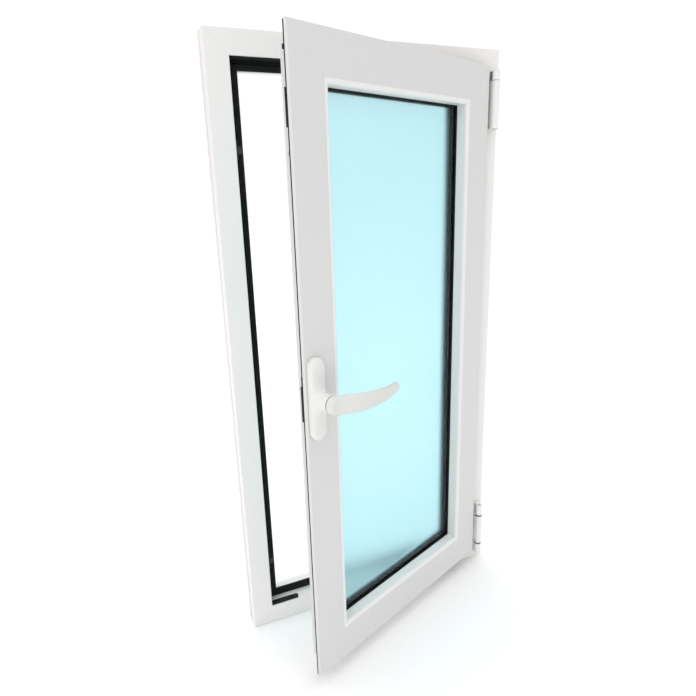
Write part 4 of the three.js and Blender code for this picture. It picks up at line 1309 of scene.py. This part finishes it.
@dataclass
class Sash:
    """The opening sash: bars, beads, seals and the hardware in its edge. Sizes in millimetres."""

    shop: Workshop
    rebate: float = 57.5
    sight: float = 65.0
    bead_depth: float = 20.0
    nose: float = 4.5
    depth: float = 47.0
    flange: tuple[float, float] = (16.5, 5.5)
    leg: tuple[float, float] = (27.0, 33.0)
    pocket: tuple[float, float] = (18.1, 21.1)
    groove: tuple[float, float, float, float] = (6.0, 9.0, 21.0, 24.0)
    lip: float = 6.0
    seam: float = 0.03
    casing_depth: tuple[float, float] = (10.5, 19.5)
    casing_foot: float = 16.4
    drive_casings: tuple[tuple[float, float, float], ...] = ((24.0, 30.0, 7.6), (71.0, 117.0, 7.6))
    carriage_casings: tuple[tuple[float, float, float], ...] = ((441.0, 456.0, 9.2), (455.5, 509.0, 7.4))

    def outline(self) -> Loop:
        """Gives the bar's section, with the hardware groove in its outer edge."""
        reach, thick = self.flange
        leg_u, leg_v = self.leg
        mouth, floor = self.pocket
        v0, v1, v2, v3 = self.groove
        lip = self.depth - self.lip
        return filleted(
            [
                (0, 0, 1.5),
                (self.rebate, 0, 0),
                (self.rebate, lip, 0),
                (self.sight, lip, 0.8),
                (self.sight, self.depth, 1.2),
                (leg_u, self.depth, 1.2),
                (leg_u, leg_v, 0.5),
                (reach, leg_v, 0.8),
                (reach, v2, 0.4),
                (mouth, v2, 0.2),
                (mouth, v3, 0.3),
                (floor, v3, 0.3),
                (floor, v0, 0.3),
                (mouth, v0, 0.3),
                (mouth, v1, 0.2),
                (reach, v1, 0.4),
                (reach, thick, 0.5),
                (0, thick, 0.7),
            ]
        )

    def bars(self) -> None:
        """Builds the four bars and the beads that hold the glass."""
        bead = filleted(
            [
                (self.rebate + self.seam, 0, 0),
                (self.sight, 0, self.nose),
                (self.sight, self.bead_depth, 0.4),
                (self.rebate + self.seam, self.bead_depth, 0),
            ],
            8,
        )
        # The sash bars take the darker copy of the white coat: painted shade
        for side, node in SASH_BARS.items():
            piece = mitred_bar(node + "_fine", self.shop.sash_ring, side, self.outline())
            self.shop.dress(piece, "shaded_sash_coat", Body.SASH, "white_coat", [node], shut=True)
        for side, node in BEADS.items():
            piece = mitred_bar(node + "_fine", self.shop.sash_ring, side, bead)
            self.shop.dress(piece, "white_bead", Body.SASH, "white_bead", [node], shut=True)

    def hardware(self) -> None:
        """Rounds the gear in the sash edge and keeps what is hidden."""
        shop = self.shop
        for node in ("corner_drive_top", "corner_drive_bottom"):
            shop.soften(node, "black_moulding", Body.SASH, "black_plastic", 0.6)
        shop.soften("drive_carriage", "black_moulding", Body.STILE_ROD, "black_plastic", 0.6)
        shop.soften("stay_guide", "cast_zinc", Body.SASH, "zinc", 0.3)
        shop.soften("stay_slider", "black_moulding", Body.SLIDER, "black_plastic", 0.3)
        shop.soften("lock_stile_rod", "mill_aluminium", Body.STILE_ROD, "mill_aluminium", 0.25)
        shop.soften("cam_upper", "bright_steel", Body.STILE_ROD, "steel", 0.4)
        shop.soften("cam_lower", "bright_steel", Body.STILE_ROD, "steel", 0.4)
        shop.soften("top_rail_rod", "mill_aluminium", Body.HEAD_ROD, "mill_aluminium", 0.25)
        shop.soften("bottom_rail_rod", "mill_aluminium", Body.FOOT_ROD, "mill_aluminium", 0.25)
        shop.soften("overlap_gasket", "gasket_rubber", Body.SASH, "rubber", 0.25)
        shop.carry("drive_rack", "cast_zinc")
        shop.carry("spindle_pinion", "bright_steel")
        for corner in CORNERS:
            shop.carry("sash_corner_cleat_" + corner, "mill_aluminium")

    def housings(self, name: str, spans: Sequence[tuple[float, float, float]], body: Body) -> None:
        """Adds the black casings that stand out of the groove at the lock edge.

        Args:
            name: The piece's name.
            spans: Each casing's start and end below the sash's top, and its outer face from the edge.
            body: The body they ride on.
        """
        ring = self.shop.sash_ring
        build = bmesh.new()
        near, far = self.casing_depth
        for start, end, outer in spans:
            ends = [(outer, far, start), (self.casing_foot, near, end)]
            (x0, y1, z1), (x1, y0, z0) = (
                (u * MM - ring.width / 2, ring.front + v * MM, ring.middle + ring.height / 2 - down * MM)
                for u, v, down in ends
            )
            made = bmesh.ops.create_cube(build, size=1.0)["verts"]
            for vertex in made:
                share = vertex.co + Vector((0.5, 0.5, 0.5))
                x, y, z = x0 + (x1 - x0) * share.x, y0 + (y1 - y0) * share.y, z0 + (z1 - z0) * share.z
                vertex.co = Vector((x, y, z))
        block = finished_mesh(name + "_block", build)
        piece = softened(block, name, 0.6 * MM)
        bpy.data.objects.remove(block)
        self.shop.dress(piece, "black_moulding", body, "black_plastic", shut=True)

    def build(self) -> None:
        """Builds the sash."""
        self.bars()
        self.hardware()
        self.housings("corner_drive_casings", self.drive_casings, Body.SASH)
        self.housings("carriage_casings", self.carriage_casings, Body.STILE_ROD)


@dataclass
class GlassUnit:
    """The sealed unit: two panes, the perforated spacer, its seals and blocks. Sizes in millimetres."""

    shop: Workshop
    edge: float = 60.5
    lip: float = 67.0
    inner_seal: tuple[float, float] = (20.3, 21.7)
    outer_seal: tuple[float, float] = (38.3, 40.7)
    spacer: tuple[float, float] = (60.8, 68.0)
    spacer_depth: tuple[float, float] = (26.3, 33.7)
    hole_inset: float = 2.0
    hole_pitch: float = 5.0
    hole_radius: float = 0.45

    def seals(self) -> None:
        """Builds the two glazing seals, each with a tapering lip."""
        for node, (near, far), room_side in (
            ("inner_glazing_gasket", self.inner_seal, True),
            ("outer_glazing_gasket", self.outer_seal, False),
        ):
            tip = far if room_side else near
            root = near if room_side else far
            corners = [
                (self.edge, root, 0),
                (self.lip - 1.1, root, 0.5),
                (self.lip, tip + (root - tip) * 0.35, 0.3),
                (self.lip - 0.2, tip, 0.1),
                (self.edge, tip, 0),
            ]
            piece = ring_piece(node + "_fine", self.shop.sash_ring, filleted(corners))
            self.shop.dress(piece, "gasket_rubber", Body.SASH, "rubber", [node], shut=True)

    def spacer_bar(self) -> None:
        """Builds the spacer and the two rows of holes along its inner face."""
        (u0, u1), (v0, v1) = self.spacer, self.spacer_depth
        outline = filleted([(u0, v0, 0.5), (u1, v0, 0.9), (u1, v1, 0.9), (u0, v1, 0.5)])
        ring = self.shop.sash_ring
        piece = ring_piece("glass_spacer_fine", ring, outline)
        self.shop.dress(piece, "spacer_bar", Body.SASH, "black_plastic", ["glass_spacer"], shut=True)
        tree = RowTree(self.shop.palette["mill_aluminium"], "spacer_holes")
        rows = []
        for side in Side:
            reach = ring.half_length(side) - (u1 + 4.0) * MM
            count = round(2 * reach / (self.hole_pitch * MM)) + 1
            turn = (0.0, 0.0, 0.0) if side.level else LEVEL_ALONG_X
            for row, v in enumerate((v0 + self.hole_inset, v1 - self.hole_inset)):
                start, end = (ring.place(side, sign * reach, u1 * MM, v * MM) for sign in (-1, 1))
                name = f"holes_{side.name.lower()}_{row}"
                rows.append(tree.row(name, start, end, count, self.hole_radius * MM, 0.06 * MM, 8, turn))
        self.shop.dress(joined("spacer_perforations", rows), "mill_aluminium", Body.SASH, "steel", shut=True)

    def build(self) -> None:
        """Builds the unit."""
        self.seals()
        self.spacer_bar()
        self.shop.carry("inner_pane", "float_glass")
        self.shop.carry("outer_pane", "satin_glass")
        for side in ("lock", "hinge"):
            self.shop.carry(f"setting_block_{side}_side", "black_moulding")


@dataclass
class Handle:
    """The handle base with its hub, and the bowed lever. Sizes in millimetres."""

    shop: Workshop
    from_edge: float = 17.0
    half_width: float = 13.5
    half_height: float = 61.0
    wall: float = 5.0
    crown: float = 11.4
    fullness: float = 2.8
    neck: float = 13.0
    neck_top: float = 21.0
    fillet: float = 15.0
    rim: float = 13.65
    hub_face: float = 34.0
    bore: float = 5.4
    lever_gap: float = 0.9
    lever_front: float = 47.0
    ray_count: int = 192
    voxel: float = 0.5
    lever_stations: tuple[tuple[float, float, float, float], ...] = (
        (-4.0, 41.4, 13.2, 5.6),
        (3.0, 43.0, 13.9, 5.8),
        (10.0, 46.2, 14.1, 5.8),
        (20.0, 52.0, 13.9, 5.6),
        (31.0, 57.2, 13.4, 5.4),
        (45.0, 61.0, 12.6, 5.2),
        (58.0, 62.5, 11.6, 5.0),
        (72.0, 62.3, 10.6, 4.8),
        (86.0, 60.4, 9.4, 4.7),
        (100.0, 57.2, 8.1, 4.6),
        (112.2, 53.6, 7.1, 4.5),
    )

    def place(self, across: float, up: float, proud: float) -> Vector:
        """Gives the row-frame point, sash shut, of a point on the handle, in millimetres."""
        ring = self.shop.sash_ring
        return Vector(
            (
                -ring.width / 2 + (self.from_edge + across) * MM,
                ring.front - proud * MM,
                ring.middle + up * MM,
            )
        )

    def boundary(self) -> list[Vector]:
        """Gives points spaced evenly round the base's outline."""
        straight = self.half_height - self.half_width
        arc = math.pi * self.half_width
        length = 2 * arc + 4 * straight
        points = []
        for index in range(self.ray_count):
            along = length * index / self.ray_count
            if along < arc:
                angle = along / self.half_width
                turned = Vector((math.cos(angle), math.sin(angle))) * self.half_width
                points.append(turned + Vector((0, straight)))
            elif along < arc + 2 * straight:
                points.append(Vector((-self.half_width, straight - (along - arc))))
            elif along < 2 * arc + 2 * straight:
                angle = math.pi + (along - arc - 2 * straight) / self.half_width
                turned = Vector((math.cos(angle), math.sin(angle))) * self.half_width
                points.append(turned - Vector((0, straight)))
            else:
                points.append(Vector((self.half_width, -straight + (along - 2 * arc - 2 * straight))))
        return points

    def dome(self, x: float, z: float) -> float:
        """Gives how proud the base's crowned face stands at a point."""
        past_end = max(abs(z) - (self.half_height - self.half_width), 0.0)
        share = min(math.hypot(x, past_end) / self.half_width, 1.0)
        rise = (1.0 - share**self.fullness) ** (1.0 / self.fullness)
        return self.wall + (self.crown - self.wall) * rise

    def base_profile(self, edge: Vector) -> list[Point]:
        """Gives radius and height from the hub's bore out to the base's edge.

        Args:
            edge: The point of the outline that this ray ends at.

        Returns:
            Radius and height pairs, in millimetres.
        """
        reach = edge.length
        towards = edge / reach
        rows = [
            (self.bore, self.hub_face - 4.0),
            (self.bore, self.hub_face),
            (self.rim - 0.95, self.hub_face),
            (self.rim - 0.3, self.hub_face - 0.25),
            (self.rim, self.hub_face - 0.9),
            (self.rim - 0.1, self.hub_face - 4.0),
            (self.rim - 0.35, self.hub_face - 8.0),
            (self.neck, self.neck_top),
        ]
        spread = min(self.fillet, (reach - self.neck) * 0.8)
        for step in range(1, 13):
            turn = step / 12 * math.pi / 2
            radius = self.neck + spread * (1.0 - math.cos(turn))
            floor = self.dome(towards.x * radius, towards.y * radius)
            rows.append((radius, floor + (self.neck_top - floor) * (1.0 - math.sin(turn))))
        inner = self.neck + spread
        for step in range(1, 13):
            share = math.sin(step / 12 * math.pi / 2)
            radius = inner + (reach - inner) * share
            rows.append((radius, self.dome(towards.x * radius, towards.y * radius)))
        rows.append((reach, self.wall - 1.2))
        rows.append((reach, 0.3))
        rows.append((reach - 0.6, 0.3))
        return rows

    def base(self) -> None:
        """Builds the base, its crown sweeping up into the hub."""
        build = bmesh.new()
        edges = self.boundary()
        profiles = [self.base_profile(edge) for edge in edges]
        rows = []
        for level in range(len(profiles[0])):
            row = []
            for edge, profile in zip(edges, profiles):
                radius, height = profile[level]
                towards = edge.normalized()
                row.append(build.verts.new(self.place(towards.x * radius, towards.y * radius, height)))
            rows.append(row)
        bridge(build, rows)
        build.faces.new(rows[0])
        build.faces.new(rows[-1])
        piece = finished_mesh("handle_base_fine", build, math.radians(40.0))
        self.shop.dress(piece, "handle_white", Body.SASH, "white_handle", ["handle_base"], shut=True)

    def lever(self) -> None:
        """Lofts the lever through its stations, melts it into its hub and smooths the join."""
        build = bmesh.new()
        hub = [
            (1.0, self.hub_face + self.lever_gap),
            (self.rim - 0.6, self.hub_face + self.lever_gap),
            (self.rim, self.hub_face + self.lever_gap + 0.6),
            (self.rim, self.lever_front - 4.6),
            (self.rim - 0.8, self.lever_front - 2.2),
            (self.rim - 2.6, self.lever_front - 0.7),
            (self.rim - 5.5, self.lever_front),
            (1.0, self.lever_front + 0.2),
        ]
        add_lathe(build, hub, lambda a, b, c: self.place(a / MM, b / MM, c / MM), 64)
        stations = self.lever_stations
        rows = []
        fine = 6
        for index in range((len(stations) - 1) * fine + 1):
            span, step = min(index // fine, len(stations) - 2), index / fine
            across, proud, half_height, half_thick = self.station(step)
            ahead = self.station(min(step + 0.05, len(stations) - 1.0))
            behind = self.station(max(step - 0.05, 0.0))
            tangent = Vector((ahead[0] - behind[0], ahead[1] - behind[1])).normalized()
            normal = Vector((-tangent.y, tangent.x))
            row = []
            for corner in range(40):
                angle = 2 * math.pi * corner / 40
                lift = math.copysign(abs(math.sin(angle)) ** 0.78, math.sin(angle)) * half_height
                thick = math.copysign(abs(math.cos(angle)) ** 0.72, math.cos(angle)) * half_thick
                place = self.place(across + normal.x * thick, lift, proud + normal.y * thick)
                row.append(build.verts.new(place))
            rows.append(row)
        bridge(build, rows)
        build.faces.new(rows[0])
        build.faces.new(rows[-1])
        piece = finished_mesh("handle_lever_fine", build)
        melt = piece.modifiers.new("melt", "REMESH")
        melt.mode = "VOXEL"
        melt.voxel_size = self.voxel * MM
        ease = piece.modifiers.new("ease", "SMOOTH")
        ease.factor = 0.5
        ease.iterations = 5
        baked(piece)
        piece.data.shade_smooth()
        # The lever takes the darker copy of the handle's white: painted shade
        self.shop.dress(piece, "shaded_lever_white", Body.LEVER, "white_handle", ["handle_lever"], shut=True)

    def station(self, step: float) -> tuple[float, float, float, float]:
        """Interpolates the lever's stations smoothly.

        Args:
            step: A station number, which may lie between two stations.

        Returns:
            Distance along, distance in front of the sash, half height and half thickness.
        """
        stations = self.lever_stations
        first = min(int(step), len(stations) - 2)
        share = step - first
        four = [stations[max(0, min(first + offset, len(stations) - 1))] for offset in (-1, 0, 1, 2)]
        blended = []
        for before, start, end, after in zip(*four):
            blended.append(
                0.5
                * (
                    2 * start
                    + (end - before) * share
                    + (2 * before - 5 * start + 4 * end - after) * share**2
                    + (3 * start - before - 3 * end + after) * share**3
                )
            )
        return tuple(blended)

    def shade_ring(self) -> None:
        """Builds a dark disc of painted shade in the gap between the hubs."""
        build = bmesh.new()
        profile = [
            (self.bore, self.hub_face + 0.02),
            (self.rim - 0.7, self.hub_face + 0.02),
            (self.rim - 0.7, self.hub_face + self.lever_gap - 0.02),
            (self.bore, self.hub_face + self.lever_gap - 0.02),
        ]
        add_lathe(build, profile, lambda a, b, c: self.place(a / MM, b / MM, c / MM), 48)
        piece = finished_mesh("handle_shade_ring", build)
        self.shop.dress(piece, "black_moulding", Body.SASH, "black_plastic", shut=True)

    def build(self) -> None:
        """Builds the handle."""
        self.base()
        self.lever()
        self.shade_ring()


# ---------------------------------------------------------------- studio


@dataclass(frozen=True)
class SoftLight:
    """One soft panel light."""

    name: str
    place: tuple[float, float, float]
    aim: tuple[float, float, float]
    size: float
    watts: float
    colour: Colour = (1.0, 1.0, 1.0)

    def build(self) -> None:
        """Hangs the light and points it."""
        lamp = bpy.data.lights.new(self.name, "AREA")
        lamp.shape = "SQUARE"
        lamp.size = self.size
        lamp.energy = self.watts
        lamp.color = self.colour
        item = bpy.data.objects.new(self.name, lamp)
        item.location = self.place
        item.rotation_euler = (Vector(self.aim) - Vector(self.place)).to_track_quat("-Z", "Y").to_euler()
        item.visible_glossy = False
        item.visible_transmission = False
        bpy.context.scene.collection.objects.link(item)


@dataclass
class Studio:
    """The pale floor, the soft light and the camera."""

    palette: Palette
    floor_size: float = 30.0
    surround: float = 1.02
    overhead: float = 1.3
    overhead_spread: float = 80.0
    world_light: float = 0.74
    lights: tuple[SoftLight, ...] = (
        SoftLight("key", (-2.6, -2.4, 1.8), (0.0, 0.0, 0.5), 1.8, 22.0),
        SoftLight("behind", (-0.6, 3.0, 1.6), (0.0, 0.0, 0.5), 2.5, 8.0),
    )
    eye: tuple[float, float, float] = (-0.419026, -0.906183, 0.783951)
    yaw: float = 23.661
    pitch: float = -16.262
    roll: float = -1.478
    lens: float = 29.60
    shift: tuple[float, float] = (-0.0121, 0.0063)

    def floor(self) -> None:
        """Lays the floor under the window."""
        build = bmesh.new()
        bmesh.ops.create_grid(build, x_segments=1, y_segments=1, size=self.floor_size / 2)
        mesh = bpy.data.meshes.new("studio_floor")
        build.to_mesh(mesh)
        build.free()
        mesh.transform(Matrix.Translation((0.0, 0.0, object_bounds()[0][2] - 0.0005)))
        item = bpy.data.objects.new("studio_floor", mesh)
        mesh.materials.append(self.palette["studio_white"])
        bpy.context.scene.collection.objects.link(item)
        item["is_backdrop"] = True

    def sky(self) -> None:
        """Sets an even surround: white where it is looked at, a little dimmer as a light."""
        world = bpy.data.worlds.new("studio_world")
        world.use_nodes = True
        tree = world.node_tree
        background = tree.nodes["Background"]
        background.inputs["Color"].default_value = (1.0, 1.0, 1.0, 1.0)
        path = tree.nodes.new("ShaderNodeLightPath")
        looked_at = tree.nodes.new("ShaderNodeMath")
        looked_at.operation = "MAXIMUM"
        link(tree, path.outputs["Is Camera Ray"], looked_at.inputs[0])
        link(tree, path.outputs["Is Transmission Ray"], looked_at.inputs[1])
        strength = tree.nodes.new("ShaderNodeMapRange")
        strength.inputs["To Min"].default_value = self.world_light
        strength.inputs["To Max"].default_value = self.surround
        link(tree, looked_at.outputs[0], strength.inputs["Value"])
        link(tree, strength.outputs["Result"], background.inputs["Strength"])
        bpy.context.scene.world = world
        bpy.context.scene.view_settings.view_transform = "Standard"

    def overhead_light(self) -> None:
        """Adds an even, very soft light from above, which keeps the whole floor white."""
        lamp = bpy.data.lights.new("overhead", "SUN")
        lamp.energy = self.overhead
        lamp.angle = math.radians(self.overhead_spread)
        item = bpy.data.objects.new("overhead", lamp)
        item.visible_glossy = False
        bpy.context.scene.collection.objects.link(item)

    def camera(self) -> None:
        """Sets the camera from its eye point, its three angles and its lens."""
        yaw, pitch, roll = (math.radians(angle) for angle in (self.yaw, self.pitch, self.roll))
        forward = Vector((math.sin(yaw) * math.cos(pitch), math.cos(yaw) * math.cos(pitch), math.sin(pitch)))
        level = Vector((math.cos(yaw), -math.sin(yaw), 0.0))
        upright = level.cross(forward)
        right = level * math.cos(roll) + upright * math.sin(roll)
        up = upright * math.cos(roll) - level * math.sin(roll)
        lens = bpy.data.cameras.new("studio_camera")
        lens.sensor_width = 36.0
        lens.lens = self.lens
        lens.shift_x, lens.shift_y = self.shift
        lens.clip_start = 0.01
        item = bpy.data.objects.new("studio_camera", lens)
        turned = Matrix((right, up, -forward)).transposed().to_4x4()
        item.matrix_world = Matrix.Translation(self.eye) @ turned
        bpy.context.scene.collection.objects.link(item)
        bpy.context.scene.camera = item

    def build(self) -> None:
        """Builds the studio."""
        self.floor()
        self.sky()
        self.overhead_light()
        for light in self.lights:
            light.build()
        self.camera()


def main() -> None:
    """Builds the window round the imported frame, then the studio."""
    logging.basicConfig(level=logging.INFO, format="%(name)s: %(message)s")
    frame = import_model()
    palette = Palette()
    shop = Workshop(frame, palette)
    Studio(palette).build()
    kinds = (FixedFrame, Locking, HingeSide, Sash, GlassUnit, Handle)
    for assembly in [kind(shop) for kind in kinds]:
        LOG.info("building %s", type(assembly).__name__)
        assembly.build()


if __name__ == "__main__":
    main()
